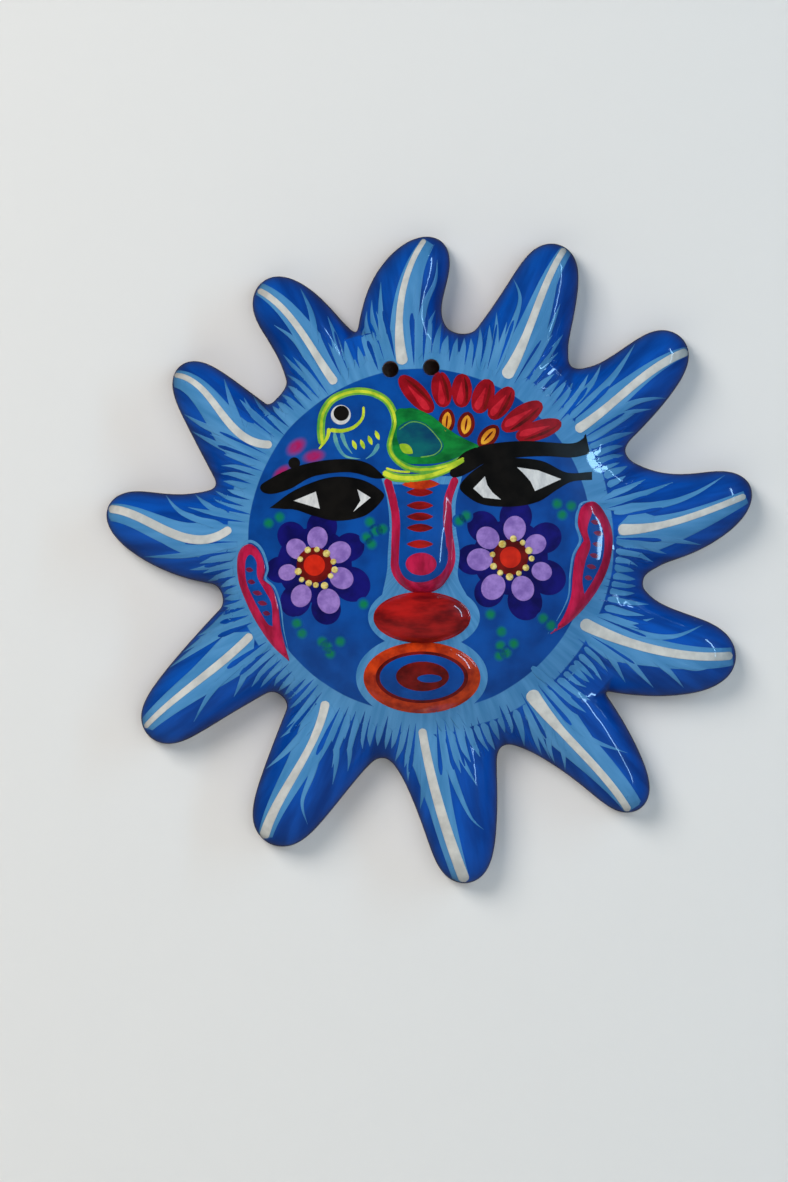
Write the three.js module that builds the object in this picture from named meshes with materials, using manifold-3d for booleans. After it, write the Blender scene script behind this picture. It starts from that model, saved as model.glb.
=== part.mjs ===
// Hand-built ceramic sun face for a wall. A pressed dish carries a domed face, and twelve hollow rays,
// a nose, two lips and two ears are luted onto it before firing. Lengths are millimetres and +Z is up.
// The wall is the plane Y = 0 and the face looks along -Y. The origin lies on the wall plane,
// midway between the two hanging holes. Bearings are degrees clockwise from the top, seen from the front.
import * as THREE from 'three';
import { mergeVertices } from 'three/addons/utils/BufferGeometryUtils.js';
import Module from 'manifold-3d';

// Face dish: a bowl whose front is one full curve from the middle of the face round to the foot ring
const DISH_RADIUS = 112;
const DISH_DEPTH = 50;
const DISH_WALL = 8;
const DOME_FULLNESS = 3;
const SHOULDER_FULLNESS = 2.2;

// Hanging holes, pierced square to the wall through the shoulder
const HOLE_DIAMETER = 9.1;
const HOLE_SPACING = 22.4;
const HOLE_RISE = 1;
const HOLE_INSET = 16.2;
const HANG_BEARING = -5.4;

// Gap that stands for the slip between two luted pieces
const SLIP_GAP = 0.3;

// Rays: each is a hollow pod that leaves the dish at its root and narrows to a round tip
const RAY_OVERLAP = 31.4;
const RAY_ROOT_HEIGHT = 31;
const RAY_TIP_HEIGHT = 24;
const RAY_WALL = 9.5;
const RAY_HOLLOW_HALF = 16;
const RAY_FULLNESS = 2.2;

// Bearing of root and tip, length of the ray beyond the dish's rim, half widths at root and tip,
// sideways bow of the middle line, and bearing of the valley that follows the ray
const RAYS = [
  { root: 7.1, tip: 3.0, length: 53.6, rootHalf: 28.6, tipHalf: 16.6, bow: -46.2, valley: 9.2 },
  { root: 23.7, tip: 23.8, length: 67.9, rootHalf: 32.6, tipHalf: 14.3, bow: 6.9, valley: 40.0 },
  { root: 49.6, tip: 50.7, length: 68.1, rootHalf: 28.3, tipHalf: 14.8, bow: 10.8, valley: 68.1 },
  { root: 69.7, tip: 79.3, length: 68.2, rootHalf: 36.4, tipHalf: 14.4, bow: 33.1, valley: 98.9 },
  { root: 116.1, tip: 109.7, length: 68.8, rootHalf: 35.6, tipHalf: 17.7, bow: 19.7, valley: 130.0 },
  { root: 150.3, tip: 141.6, length: 75.8, rootHalf: 35.4, tipHalf: 12.5, bow: -14.8, valley: 158.9 },
  { root: 181.3, tip: 173.6, length: 76.9, rootHalf: 34.3, tipHalf: 14.4, bow: -10.0, valley: 190.5 },
  { root: 204.9, tip: 207.8, length: 75.2, rootHalf: 33.3, tipHalf: 16.5, bow: 2.0, valley: 224.2 },
  { root: 241.7, tip: 235.3, length: 74.8, rootHalf: 31.9, tipHalf: 15.0, bow: 4.7, valley: 255.2 },
  { root: 278.5, tip: 277.2, length: 64.1, rootHalf: 33.7, tipHalf: 13.9, bow: -26.2, valley: 285.9 },
  { root: 289.4, tip: 305.6, length: 55.6, rootHalf: 33.0, tipHalf: 12.0, bow: -0.2, valley: 312.2 },
  { root: 321.5, tip: 326.5, length: 57.2, rootHalf: 24.8, tipHalf: 16.4, bow: 22.2, valley: 341.4 },
];

// Nose: a raised bar with a round end, narrowest below the bridge
const FEATURE_X = -3.0;
const NOSE_TOP = 33.7;
const NOSE_LENGTH = 60.8;
const NOSE_BRIDGE_HALF = 19;
const NOSE_WAIST_HALF = 16;
const NOSE_TIP_HALF = 18;
const NOSE_BRIDGE_RISE = 3.5;
const NOSE_TIP_RISE = 13;

// Lips: two oval pads, one under the other
const UPPER_LIP_HALF_WIDTH = 25.7;
const UPPER_LIP_HALF_HEIGHT = 13.6;
const UPPER_LIP_RISE = 8;
const LOWER_LIP_HALF_WIDTH = 31;
const LOWER_LIP_HALF_HEIGHT = 19;
const LOWER_LIP_RISE = 8;

// Ears: leaf-shaped pads that bend round the edge of the face, from a blunt top to a thin tail.
// A nick on the face's side, at a share of the ear's length, parts the upper lobe from the lower one.
const EARS = [
  { name: 'ear_left', from: 270, to: 229.5, topInset: 15, tailInset: 13.5, halfWidth: 7.6, nick: 0.33 },
  { name: 'ear_right', from: 76.3, to: 126, topInset: 19.5, tailInset: 27, halfWidth: 7.8, nick: 0.27 },
];
const EAR_RISE = 3;
const NICK_DEPTH = 5;
const NICK_HALF_WIDTH = 9;
const NICK_SHOULDER = 1.2;

const EAR_BENDS = 4;
const EAR_BLUNTNESS = 0.7;
const EAR_FULLNESS = 0.8;

// Fineness of the curved surfaces
const DISH_SEGMENTS = 72;
const DISH_RINGS = 12;
const HOLLOW_RINGS = 7;
const HOLE_SEGMENTS = 20;
const NICK_SEGMENTS = 5;
const RAY_STATIONS = 15;
const RAY_ARCH = 12;
const HOLLOW_STATIONS = 8;
const HOLLOW_ARCH = 8;
const PAD_STATIONS = 14;
const PAD_ARCH = 8;
const BEYOND = 2;
const FAR = 400;

const wasm = await Module();
wasm.setup();

function solidOf(geometry) {
  const bare = geometry.clone();
  bare.deleteAttribute('normal');
  bare.deleteAttribute('uv');
  const merged = mergeVertices(bare, 1e-4);
  const vertProperties = new Float32Array(merged.attributes.position.array);
  const triVerts = new Uint32Array(merged.index.array);
  return new wasm.Manifold(new wasm.Mesh({ numProp: 3, vertProperties, triVerts }));
}

function geometryOf(solid) {
  const mesh = solid.getMesh();
  const geometry = new THREE.BufferGeometry();
  geometry.setAttribute('position', new THREE.BufferAttribute(Float32Array.from(mesh.vertProperties), 3));
  geometry.setIndex(Array.from(mesh.triVerts));
  return geometry;
}

// A point of the front plane, given by its distance from the dish's axis and its bearing
function polar(radius, bearing) {
  const turn = THREE.MathUtils.degToRad(bearing);
  return new THREE.Vector2(radius * Math.sin(turn), radius * Math.cos(turn));
}

// Height of the dish's front above the wall at a distance from its axis
function dishHeight(radius, grow = 0) {
  const share = Math.min(radius / (DISH_RADIUS + grow), 1);
  return (DISH_DEPTH + grow) * (1 - share ** DOME_FULLNESS) ** (1 / SHOULDER_FULLNESS);
}

// A solid of revolution with the dish's front curve, grown or shrunk all over, and sunk below the wall plane
function dishSolid(grow, rings, sink) {
  const outerRadius = DISH_RADIUS + grow;
  const profile = [new THREE.Vector2(0, -sink), new THREE.Vector2(outerRadius, -sink)];
  const firstRing = sink > 0 ? 0 : 1;
  for (let ring = firstRing; ring < rings; ring += 1) {
    const turn = (ring / rings) * (Math.PI / 2);
    const radius = outerRadius * Math.cos(turn) ** (2 / DOME_FULLNESS);
    profile.push(new THREE.Vector2(radius, dishHeight(radius, grow)));
  }
  profile.push(new THREE.Vector2(0, DISH_DEPTH + grow));
  const geometry = new THREE.LatheGeometry(profile, DISH_SEGMENTS);
  geometry.rotateX(Math.PI);
  return solidOf(geometry);
}

// Joins rings of points into one closed skin. A ring of one point is a pointed end.
function skin(rings) {
  const positions = [];
  const starts = [];
  for (const ring of rings) {
    starts.push(positions.length / 3);
    for (const point of ring) positions.push(point.x, point.y, point.z);
  }
  const faces = [];
  for (let i = 0; i + 1 < rings.length; i += 1) {
    const count = Math.max(rings[i].length, rings[i + 1].length);
    for (let j = 0; j < count; j += 1) {
      const next = (j + 1) % count;
      const a = starts[i] + (rings[i].length > 1 ? j : 0);
      const b = starts[i] + (rings[i].length > 1 ? next : 0);
      const c = starts[i + 1] + (rings[i + 1].length > 1 ? j : 0);
      const d = starts[i + 1] + (rings[i + 1].length > 1 ? next : 0);
      if (a !== b) faces.push(a, b, c);
      if (c !== d) faces.push(b, d, c);
    }
  }
  const last = rings.length - 1;
  for (let j = 1; j + 1 < rings[0].length; j += 1) {
    faces.push(starts[0], starts[0] + j + 1, starts[0] + j);
  }
  for (let j = 1; j + 1 < rings[last].length; j += 1) {
    faces.push(starts[last], starts[last] + j, starts[last] + j + 1);
  }
  const geometry = new THREE.BufferGeometry();
  geometry.setAttribute('position', new THREE.BufferAttribute(new Float32Array(positions), 3));
  geometry.setIndex(faces);
  return geometry;
}

// A point on a middle line, with the direction to its left in the front plane
function stationOn(curve, share) {
  const centre = curve.getPoint(share);
  const tangent = curve.getTangent(share);
  return { centre, left: new THREE.Vector2(-tangent.y, tangent.x) };
}

// One cross-section: an arch over a floor, from the left edge to the right edge and back along the floor
function archSection({ centre, left }, halfWidth, rise, arch, floor, floorSteps) {
  const ring = [];
  for (let j = 0; j <= arch; j += 1) {
    const turn = (j / arch) * Math.PI;
    const across = halfWidth * Math.sign(Math.cos(turn)) * Math.abs(Math.cos(turn)) ** (2 / RAY_FULLNESS);
    const up = j === 0 || j === arch ? 0 : rise * Math.sin(turn) ** (2 / RAY_FULLNESS);
    const x = centre.x + left.x * across;
    const z = centre.y + left.y * across;
    ring.push(new THREE.Vector3(x, -floor(x, z) - up, z));
  }
  for (let j = 1; j < floorSteps; j += 1) {
    const across = -halfWidth * Math.cos((j / floorSteps) * Math.PI);
    const x = centre.x + left.x * across;
    const z = centre.y + left.y * across;
    ring.push(new THREE.Vector3(x, -floor(x, z), z));
  }
  return ring;
}

// Middle line of a ray, from its root inside the dish to its tip
function rayLine({ root, tip, length, bow }) {
  const from = polar(DISH_RADIUS - RAY_OVERLAP, root);
  const to = polar(DISH_RADIUS + length, tip);
  const along = to.clone().sub(from).normalize();
  const middle = from.clone().add(to).multiplyScalar(0.5);
  middle.add(new THREE.Vector2(along.y, -along.x).multiplyScalar(bow));
  return new THREE.QuadraticBezierCurve(from, middle, to);
}

// A ray's full form, or the form of its hollow when a wall is taken off and its width is held to a limit
function rayForm(ray, wall, widest, stations, arch, sink) {
  const line = rayLine(ray);
  const length = ray.length + RAY_OVERLAP;
  const end = 1 - wall / length;
  const roundness = (2 * length) / ray.tipHalf;
  const floor = () => -sink;
  const rings = [];
  for (let i = 0; i < stations; i += 1) {
    const share = end * (1 - (1 - i / stations) ** 2);
    const cap = Math.sqrt(1 - (share / end) ** roundness);
    const halfWidth = Math.min(THREE.MathUtils.lerp(ray.rootHalf, ray.tipHalf, share) - wall, widest);
    const height = THREE.MathUtils.lerp(RAY_ROOT_HEIGHT, RAY_TIP_HEIGHT, share) - wall + sink;
    rings.push(archSection(stationOn(line, share), halfWidth * cap, height * cap, arch, floor, 0));
  }
  const tip = line.getPoint(end);
  rings.push([new THREE.Vector3(tip.x, sink, tip.y)]);
  return solidOf(skin(rings));
}

// The space between two valleys, drawn in from both by a margin
function sector(fromBearing, toBearing, margin) {
  const span = THREE.MathUtils.euclideanModulo(toBearing - fromBearing, 360);
  const apex = polar(margin / Math.sin(THREE.MathUtils.degToRad(span / 2)), fromBearing + span / 2);
  const outline = new THREE.Shape([
    apex,
    polar(FAR, fromBearing).add(apex),
    polar(FAR, toBearing).add(apex),
  ]);
  const geometry = new THREE.ExtrudeGeometry(outline, { depth: FAR, bevelEnabled: false });
  geometry.translate(0, 0, -FAR / 2);
  geometry.rotateX(Math.PI / 2);
  return solidOf(geometry);
}

function hangingHoles() {
  const middle = polar(DISH_RADIUS - HOLE_INSET, HANG_BEARING);
  const holes = [];
  for (const side of [-1, 1]) {
    const geometry = new THREE.CylinderGeometry(HOLE_DIAMETER / 2, HOLE_DIAMETER / 2, FAR, HOLE_SEGMENTS);
    geometry.translate(middle.x + (side * HOLE_SPACING) / 2, 0, middle.y + (side * HOLE_RISE) / 2);
    holes.push(solidOf(geometry));
  }
  return holes[0].add(holes[1]);
}

function makeDish(holes) {
  const bowl = dishSolid(0, DISH_RINGS, 0);
  const hollow = dishSolid(-DISH_WALL, HOLLOW_RINGS, BEYOND);
  return geometryOf(bowl.subtract(hollow).subtract(holes));
}

function makeRay(ray, previous, seat, holes) {
  const body = rayForm(ray, 0, ray.rootHalf, RAY_STATIONS, RAY_ARCH, 0);
  const hollow = rayForm(ray, RAY_WALL, RAY_HOLLOW_HALF, HOLLOW_STATIONS, HOLLOW_ARCH, BEYOND);
  const room = sector(previous.valley, ray.valley, SLIP_GAP / 2);
  const innerRoom = sector(previous.valley, ray.valley, SLIP_GAP / 2 + RAY_WALL);
  const walls = body.intersect(room).subtract(hollow.intersect(innerRoom));
  return geometryOf(walls.subtract(seat).subtract(holes));
}

// A pad luted on the dish: its underside follows the dish's front, and it is crowned between its edges
function makePad(line, halfWidthAt, riseAt, lift = SLIP_GAP) {
  const floor = (x, z) => dishHeight(Math.hypot(x, z)) + lift;
  const pointAt = (share) => {
    const { x, y } = line.getPoint(share);
    return [new THREE.Vector3(x, -floor(x, y), y)];
  };
  const rings = [pointAt(0)];
  for (let i = 1; i < PAD_STATIONS; i += 1) {
    const share = (1 - Math.cos((i / PAD_STATIONS) * Math.PI)) / 2;
    const station = stationOn(line, share);
    rings.push(archSection(station, halfWidthAt(share), riseAt(share), PAD_ARCH, floor, PAD_ARCH));
  }
  rings.push(pointAt(1));
  return skin(rings);
}

function ovalPad(centreZ, halfWidth, halfHeight, rise) {
  const line = new THREE.LineCurve(
    new THREE.Vector2(FEATURE_X - halfWidth, centreZ),
    new THREE.Vector2(FEATURE_X + halfWidth, centreZ),
  );
  const round = (share) => Math.sqrt(1 - (2 * share - 1) ** 2);
  return makePad(line, (share) => halfHeight * round(share), (share) => rise * round(share));
}

function makeNose() {
  const line = new THREE.LineCurve(
    new THREE.Vector2(FEATURE_X, NOSE_TOP),
    new THREE.Vector2(FEATURE_X, NOSE_TOP - NOSE_LENGTH),
  );
  const outline = new THREE.SplineCurve([
    new THREE.Vector2(0, NOSE_BRIDGE_HALF),
    new THREE.Vector2(0.45, NOSE_WAIST_HALF),
    new THREE.Vector2(1, NOSE_TIP_HALF),
  ]);
  const topRound = (share) => (1 - (1 - share) ** ((2 * NOSE_LENGTH) / NOSE_BRIDGE_HALF) ** 2) ** 0.5;
  const endRound = (share) => (1 - share ** ((2 * NOSE_LENGTH) / NOSE_TIP_HALF)) ** 0.5;
  const round = (share) => topRound(share) * endRound(share);
  const halfWidthAt = (share) => outline.getPoint(share).y * round(share);
  const riseAt = (share) => THREE.MathUtils.lerp(NOSE_BRIDGE_RISE, NOSE_TIP_RISE, share) * round(share);
  return makePad(line, halfWidthAt, riseAt);
}

// How full an ear is at a share of its length, from 0 at its ends to 1 where it is widest
function earFullness(share) {
  return Math.sin(Math.PI * share ** EAR_BLUNTNESS) ** EAR_FULLNESS;
}

// An ear, or with a margin the room that the rays' roots leave round it
function earForm({ from, to, topInset, tailInset, halfWidth }, margin, lift, extraRise) {
  const points = [];
  const overrun = THREE.MathUtils.radToDeg(margin / DISH_RADIUS) * Math.sign(to - from);
  for (let i = 0; i <= EAR_BENDS; i += 1) {
    const share = i / EAR_BENDS;
    const radius = DISH_RADIUS - THREE.MathUtils.lerp(topInset, tailInset, share);
    points.push(polar(radius, THREE.MathUtils.lerp(from - overrun, to + overrun, share)));
  }
  const line = new THREE.SplineCurve(points);
  const halfWidthAt = (share) => halfWidth * earFullness(share) + margin;
  const riseAt = (share) => EAR_RISE * earFullness(share) + extraRise;
  return makePad(line, halfWidthAt, riseAt, lift);
}

// The nick's cutter, square to the wall: its sides leave the ear's inner edge softly and meet in a point
function nickCutter(innerEdge, bearing) {
  const edge = polar(innerEdge, bearing);
  const outward = polar(1, bearing);
  const along = polar(1, bearing + 90);
  const at = (side, deep) => edge.clone().addScaledVector(along, side).addScaledVector(outward, deep);
  const point = at(0, NICK_DEPTH);
  const outline = new THREE.Shape([at(-NICK_HALF_WIDTH, -NICK_DEPTH), at(-NICK_HALF_WIDTH, -NICK_SHOULDER)]);
  const enter = at(-NICK_HALF_WIDTH / 4, 0);
  const leave = at(NICK_HALF_WIDTH / 4, 0);
  const end = at(NICK_HALF_WIDTH, -NICK_SHOULDER);
  outline.quadraticCurveTo(enter.x, enter.y, point.x, point.y);
  outline.quadraticCurveTo(leave.x, leave.y, end.x, end.y);
  outline.lineTo(...at(NICK_HALF_WIDTH, -NICK_DEPTH).toArray());
  const settings = { depth: FAR, bevelEnabled: false, curveSegments: NICK_SEGMENTS };
  const geometry = new THREE.ExtrudeGeometry(outline, settings);
  geometry.translate(0, 0, -FAR / 2);
  geometry.rotateX(Math.PI / 2);
  return solidOf(geometry);
}

function makeEar(ear) {
  const inset = THREE.MathUtils.lerp(ear.topInset, ear.tailInset, ear.nick);
  const innerEdge = DISH_RADIUS - inset - ear.halfWidth * earFullness(ear.nick);
  const cutter = nickCutter(innerEdge, THREE.MathUtils.lerp(ear.from, ear.to, ear.nick));
  return geometryOf(solidOf(earForm(ear, 0, SLIP_GAP, 0)).subtract(cutter));
}

const faceBlue = new THREE.MeshStandardMaterial({ color: 0x0a50aa, roughness: 0.2, metalness: 0 });
const rayBlue = new THREE.MeshStandardMaterial({ color: 0x2a78c8, roughness: 0.2, metalness: 0 });
const magenta = new THREE.MeshStandardMaterial({ color: 0xb81e55, roughness: 0.2, metalness: 0 });
const lipRed = new THREE.MeshStandardMaterial({ color: 0xa01818, roughness: 0.2, metalness: 0 });
const lipOrange = new THREE.MeshStandardMaterial({ color: 0xc83a10, roughness: 0.2, metalness: 0 });

const sun = new THREE.Group();
const hangPoint = polar(DISH_RADIUS - HOLE_INSET, HANG_BEARING);
sun.position.set(-hangPoint.x, 0, -hangPoint.y);

function addPiece(name, geometry, material) {
  const mesh = new THREE.Mesh(geometry, material.clone());
  mesh.name = name;
  sun.add(mesh);
}

const holes = hangingHoles();
addPiece('face_dish', makeDish(holes), faceBlue);

let raySeat = dishSolid(SLIP_GAP, DISH_RINGS, BEYOND);
for (const ear of EARS) {
  addPiece(ear.name, makeEar(ear), magenta);
  raySeat = raySeat.add(solidOf(earForm(ear, SLIP_GAP, -BEYOND, RAY_ROOT_HEIGHT)));
}
RAYS.forEach((ray, i) => {
  const previous = RAYS[(i + RAYS.length - 1) % RAYS.length];
  const name = `ray_${String(i + 1).padStart(2, '0')}`;
  addPiece(name, makeRay(ray, previous, raySeat, holes), rayBlue);
});

const upperLipZ = NOSE_TOP - NOSE_LENGTH - SLIP_GAP - UPPER_LIP_HALF_HEIGHT;
const lowerLipZ = upperLipZ - UPPER_LIP_HALF_HEIGHT - SLIP_GAP - LOWER_LIP_HALF_HEIGHT;
const upperLip = ovalPad(upperLipZ, UPPER_LIP_HALF_WIDTH, UPPER_LIP_HALF_HEIGHT, UPPER_LIP_RISE);
const lowerLip = ovalPad(lowerLipZ, LOWER_LIP_HALF_WIDTH, LOWER_LIP_HALF_HEIGHT, LOWER_LIP_RISE);
addPiece('nose', makeNose(), magenta);
addPiece('upper_lip', upperLip, lipRed);
addPiece('lower_lip', lowerLip, lipOrange);

export default sun;
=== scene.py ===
# %% [markdown]
# # A painted ceramic sun face
#
# The real plaque is a pressed dish with twelve hollow rays, a nose, two lips and two ears luted on.
# The potter smooths slip over the seams, paints the front by hand and seals it under clear lacquer.
# The bare clay pieces come with the frame. This lesson adds what covers them: one smooth painted coat,
# crisper raised features, and every brush mark as a thin skin of paint of its own.

# %% Load the clay pieces and take the main sizes from them
import math
import random

import bpy
import numpy as np
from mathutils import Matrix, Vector, geometry


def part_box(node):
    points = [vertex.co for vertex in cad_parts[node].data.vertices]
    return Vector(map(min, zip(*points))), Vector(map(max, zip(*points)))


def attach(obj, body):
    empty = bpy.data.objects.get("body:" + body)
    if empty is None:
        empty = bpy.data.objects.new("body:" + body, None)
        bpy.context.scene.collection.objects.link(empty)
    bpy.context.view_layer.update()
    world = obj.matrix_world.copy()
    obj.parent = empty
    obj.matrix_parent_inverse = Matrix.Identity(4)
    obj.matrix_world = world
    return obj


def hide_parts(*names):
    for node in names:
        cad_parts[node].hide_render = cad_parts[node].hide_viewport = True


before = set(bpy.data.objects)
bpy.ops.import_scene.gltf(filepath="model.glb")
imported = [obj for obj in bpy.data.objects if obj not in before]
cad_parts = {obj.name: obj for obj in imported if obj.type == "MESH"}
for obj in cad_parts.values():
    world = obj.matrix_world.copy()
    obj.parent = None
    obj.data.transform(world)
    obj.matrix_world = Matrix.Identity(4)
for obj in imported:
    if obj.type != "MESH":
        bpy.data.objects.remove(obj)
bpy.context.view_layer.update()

MM = 0.001
dish_low, dish_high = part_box("face_dish")
DISH_X = (dish_low.x + dish_high.x) / 2 / MM
DISH_Z = (dish_low.z + dish_high.z) / 2 / MM
DISH_RADIUS = (dish_high.x - dish_low.x) / 2 / MM
DISH_DEPTH = -dish_low.y / MM
print("dish", round(DISH_RADIUS, 1), "mm in radius and", round(DISH_DEPTH, 1), "mm deep")

# %% [markdown]
# ## The camera
#
# The plaque was photographed square on, from far enough away that its edges hardly converge.
# A long lens does the same here. The painted marks were measured in the photograph's pixels,
# so one function turns a pixel into millimetres on the plaque, from the centre of the dish.

# %% Camera and the photograph's scale
PHOTO_WIDTH = 788
PHOTO_HEIGHT = 1182
PIXEL = 0.5528
DISH_IN_PHOTO = (427, 543)
CAMERA_DISTANCE = 3.2
SENSOR = 36


def spot(px, py):
    """A pixel of the photograph as millimetres right of and above the dish's centre."""
    return ((px - DISH_IN_PHOTO[0]) * PIXEL, (DISH_IN_PHOTO[1] - py) * PIXEL)


def spots(pixels):
    return np.array([spot(px, py) for px, py in pixels])


middle = spot(PHOTO_WIDTH / 2, PHOTO_HEIGHT / 2)
camera_data = bpy.data.cameras.new("camera")
camera_data.sensor_width = SENSOR
camera_data.lens = SENSOR * CAMERA_DISTANCE / (PHOTO_HEIGHT * PIXEL * MM)
camera = bpy.data.objects.new("camera", camera_data)
camera.location = ((middle[0] + DISH_X) * MM, -CAMERA_DISTANCE, (middle[1] + DISH_Z) * MM)
camera.rotation_euler = (math.pi / 2, 0, 0)
bpy.context.scene.collection.objects.link(camera)
bpy.context.scene.camera = camera
bpy.context.scene.view_settings.view_transform = "Standard"
print("lens", round(camera_data.lens), "mm")

# %% [markdown]
# ## The shape of the front as one formula
#
# Where two clay pieces meet, the potter's thumb leaves a soft hollow, not a crease. A height formula
# can do that: the dome and each ray give a value that falls to zero at its own edge, and a smooth
# maximum melts neighbours together. Everything painted later asks the same formula where it lies.

# %% Forms of the dome and the rays
FULLNESS = 2.2
DOME_FULLNESS = 3
RIM_RADIUS = 115
RIM_FULLNESS = 8
SHOULDER_BLEND = 7
COAT_LIFT = 0.3
COAT_SPREAD = 0.01

RAY_OVERLAP = 31.4
RAY_ROOT_HEIGHT = 31
RAY_TIP_HEIGHT = 24
RAY_FIELDS = ("root", "tip", "length", "root_half", "tip_half", "bow", "valley", "web")
RAY_SIZES = [
    (7.1, 3.0, 53.6, 28.6, 16.6, -46.2, 9.2, 0.42),
    (23.7, 23.8, 67.9, 32.6, 14.3, 6.9, 40.0, 0.42),
    (49.6, 50.7, 68.1, 28.3, 14.8, 10.8, 68.1, 0.42),
    (69.7, 79.3, 68.2, 36.4, 14.4, 33.1, 98.9, 0.42),
    (116.1, 109.7, 68.8, 35.6, 17.7, 19.7, 130.0, 0.42),
    (150.3, 141.6, 75.8, 35.4, 12.5, -14.8, 158.9, 0.12),
    (181.3, 173.6, 76.9, 34.3, 14.4, -10.0, 190.5, 0.42),
    (204.9, 207.8, 75.2, 33.3, 16.5, 2.0, 224.2, 0.42),
    (241.7, 235.3, 74.8, 31.9, 15.0, 4.7, 255.2, 0.42),
    (278.5, 277.2, 64.1, 33.7, 13.9, -26.2, 285.9, 0.42),
    (289.4, 305.6, 55.6, 33.0, 12.0, -0.2, 312.2, 0.22),
    (321.5, 326.5, 57.2, 24.8, 16.4, 22.2, 341.4, 0.3),
]
RAYS = [dict(zip(RAY_FIELDS, sizes)) for sizes in RAY_SIZES]
ROOT_HALF = np.array([ray["root_half"] for ray in RAYS])
TIP_HALF = np.array([ray["tip_half"] for ray in RAYS])
RAY_LENGTH = np.array([ray["length"] for ray in RAYS]) + RAY_OVERLAP
LINE_SAMPLES = 12
NEWTON_ROUNDS = 4
LEAST_SLOPE = 0.25
SHARE_RANGE = (-0.5, 1.3)
BATCH = 4000

# Distance from the dish's centre to the outline in the valley after each ray
VALLEY_REACH = (117.1, 126.3, 121.5, 121.5, 125.0, 119.7, 121.4, 115.7, 116.7, 119.0, 114.5, 123.1)
WEB_WIDTH = 7


def polar(radius, bearing):
    """A point by its distance from the dish's centre and its bearing clockwise from the top."""
    turn = math.radians(bearing)
    return np.array([radius * math.sin(turn), radius * math.cos(turn)])


def blend_over(a, b, reach):
    """The larger of two heights, rounded where they come within reach of each other."""
    return np.maximum(a, b) + np.maximum(reach - np.abs(a - b), 0) ** 2 / (4 * reach)


def arch(share):
    """Height of a full round form, from 0 at its edge to 1 well inside."""
    inside = np.clip(share, 0, 1)
    return (1 - (1 - inside) ** FULLNESS) ** (1 / FULLNESS)


def ray_controls(ray):
    start = polar(DISH_RADIUS - RAY_OVERLAP, ray["root"])
    end = polar(DISH_RADIUS + ray["length"], ray["tip"])
    along = (end - start) / np.linalg.norm(end - start)
    bend = (start + end) / 2 + np.array([along[1], -along[0]]) * ray["bow"]
    return start, bend, end


RAY_LINES = np.array([ray_controls(ray) for ray in RAYS])


def curve_at(share, lines=RAY_LINES):
    """Point, direction and bend of each ray's middle line, at one share of its length for each ray."""
    start, bend, end = lines[:, 0], lines[:, 1], lines[:, 2]
    s = share[..., None]
    point = (1 - s) ** 2 * start + 2 * s * (1 - s) * bend + s**2 * end
    first = 2 * (1 - s) * (bend - start) + 2 * s * (end - bend)
    second = 2 * (end - 2 * bend + start)
    return point, first, second


def beside_lines(points):
    """For each point and ray, the share along the ray's middle line and the distance to its right."""
    shares = np.linspace(0, 1, LINE_SAMPLES)
    line = curve_at(np.repeat(shares[:, None], len(RAYS), 1))[0]
    squared = ((points[:, None, None] - line[None]) ** 2).sum(3)
    share = shares[squared.argmin(1)]
    for _ in range(NEWTON_ROUNDS):
        point, first, second = curve_at(share)
        away = point - points[:, None]
        slope = (first**2).sum(2) + (away * second).sum(2)
        slope = np.maximum(slope, LEAST_SLOPE * (first**2).sum(2))
        share = np.clip(share - (away * first).sum(2) / slope, *SHARE_RANGE)
    point, first, second = curve_at(share)
    first = first / np.linalg.norm(first, axis=2)[..., None]
    away = points[:, None] - point
    return share, away[..., 0] * first[..., 1] - away[..., 1] * first[..., 0]


def round_depth(cap, side, behind=0):
    """Depth inside a long round form, from the room left before its end and the share of its half width."""
    rounding = np.sign(cap) * np.abs(cap) ** (FULLNESS / 2)
    spread = 1 - rounding + np.abs(side) ** FULLNESS + behind**FULLNESS
    return 1 - spread ** (1 / FULLNESS)


def ray_depths(points):
    """How deep inside each ray's outline a point lies: 1 on its middle line, 0 at its edge, less outside."""
    share, side = beside_lines(points)
    half = ROOT_HALF + (TIP_HALF - ROOT_HALF) * np.clip(share, 0, 1)
    cap = 1 - np.maximum(share, 0) ** (2 * RAY_LENGTH / TIP_HALF)
    behind = np.maximum(-share, 0) * RAY_LENGTH / ROOT_HALF
    return round_depth(cap, side / half, behind)


def in_batches(formula, points):
    parts = [formula(points[i : i + BATCH]) for i in range(0, len(points), BATCH)]
    return np.concatenate(parts)


def unwebbed_depth(points):
    radius = np.linalg.norm(points, axis=1)
    depth = 1 - (radius / RIM_RADIUS) ** RIM_FULLNESS
    depths = ray_depths(points)
    for number, ray in enumerate(RAYS):
        depth = blend_over(depth, depths[:, number], ray["web"])
    return depth + COAT_SPREAD


valleys = np.array([polar(reach, ray["valley"]) for reach, ray in zip(VALLEY_REACH, RAYS)])
valley_lack = np.maximum(-unwebbed_depth(valleys), 0)


def coat_depth(points):
    """How deep inside the whole sun's outline a point lies, with the thumbed webs in the valleys."""
    if len(points) > BATCH:
        return in_batches(coat_depth, points)
    squared = ((points[:, None] - valleys[None]) ** 2).sum(2)
    web = (valley_lack * np.exp(-squared / (2 * WEB_WIDTH**2))).sum(1)
    return unwebbed_depth(points) + web


def dome_height(points):
    share = np.minimum(np.linalg.norm(points, axis=1) / DISH_RADIUS, 1)
    return DISH_DEPTH * (1 - share**DOME_FULLNESS) ** (1 / FULLNESS)


def ridge_height(points):
    beyond_root = np.linalg.norm(points, axis=1) - (DISH_RADIUS - RAY_OVERLAP)
    fall = RAY_ROOT_HEIGHT - RAY_TIP_HEIGHT
    return RAY_ROOT_HEIGHT - fall * np.clip(beyond_root / RAY_LENGTH.max(), 0, 1)


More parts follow.
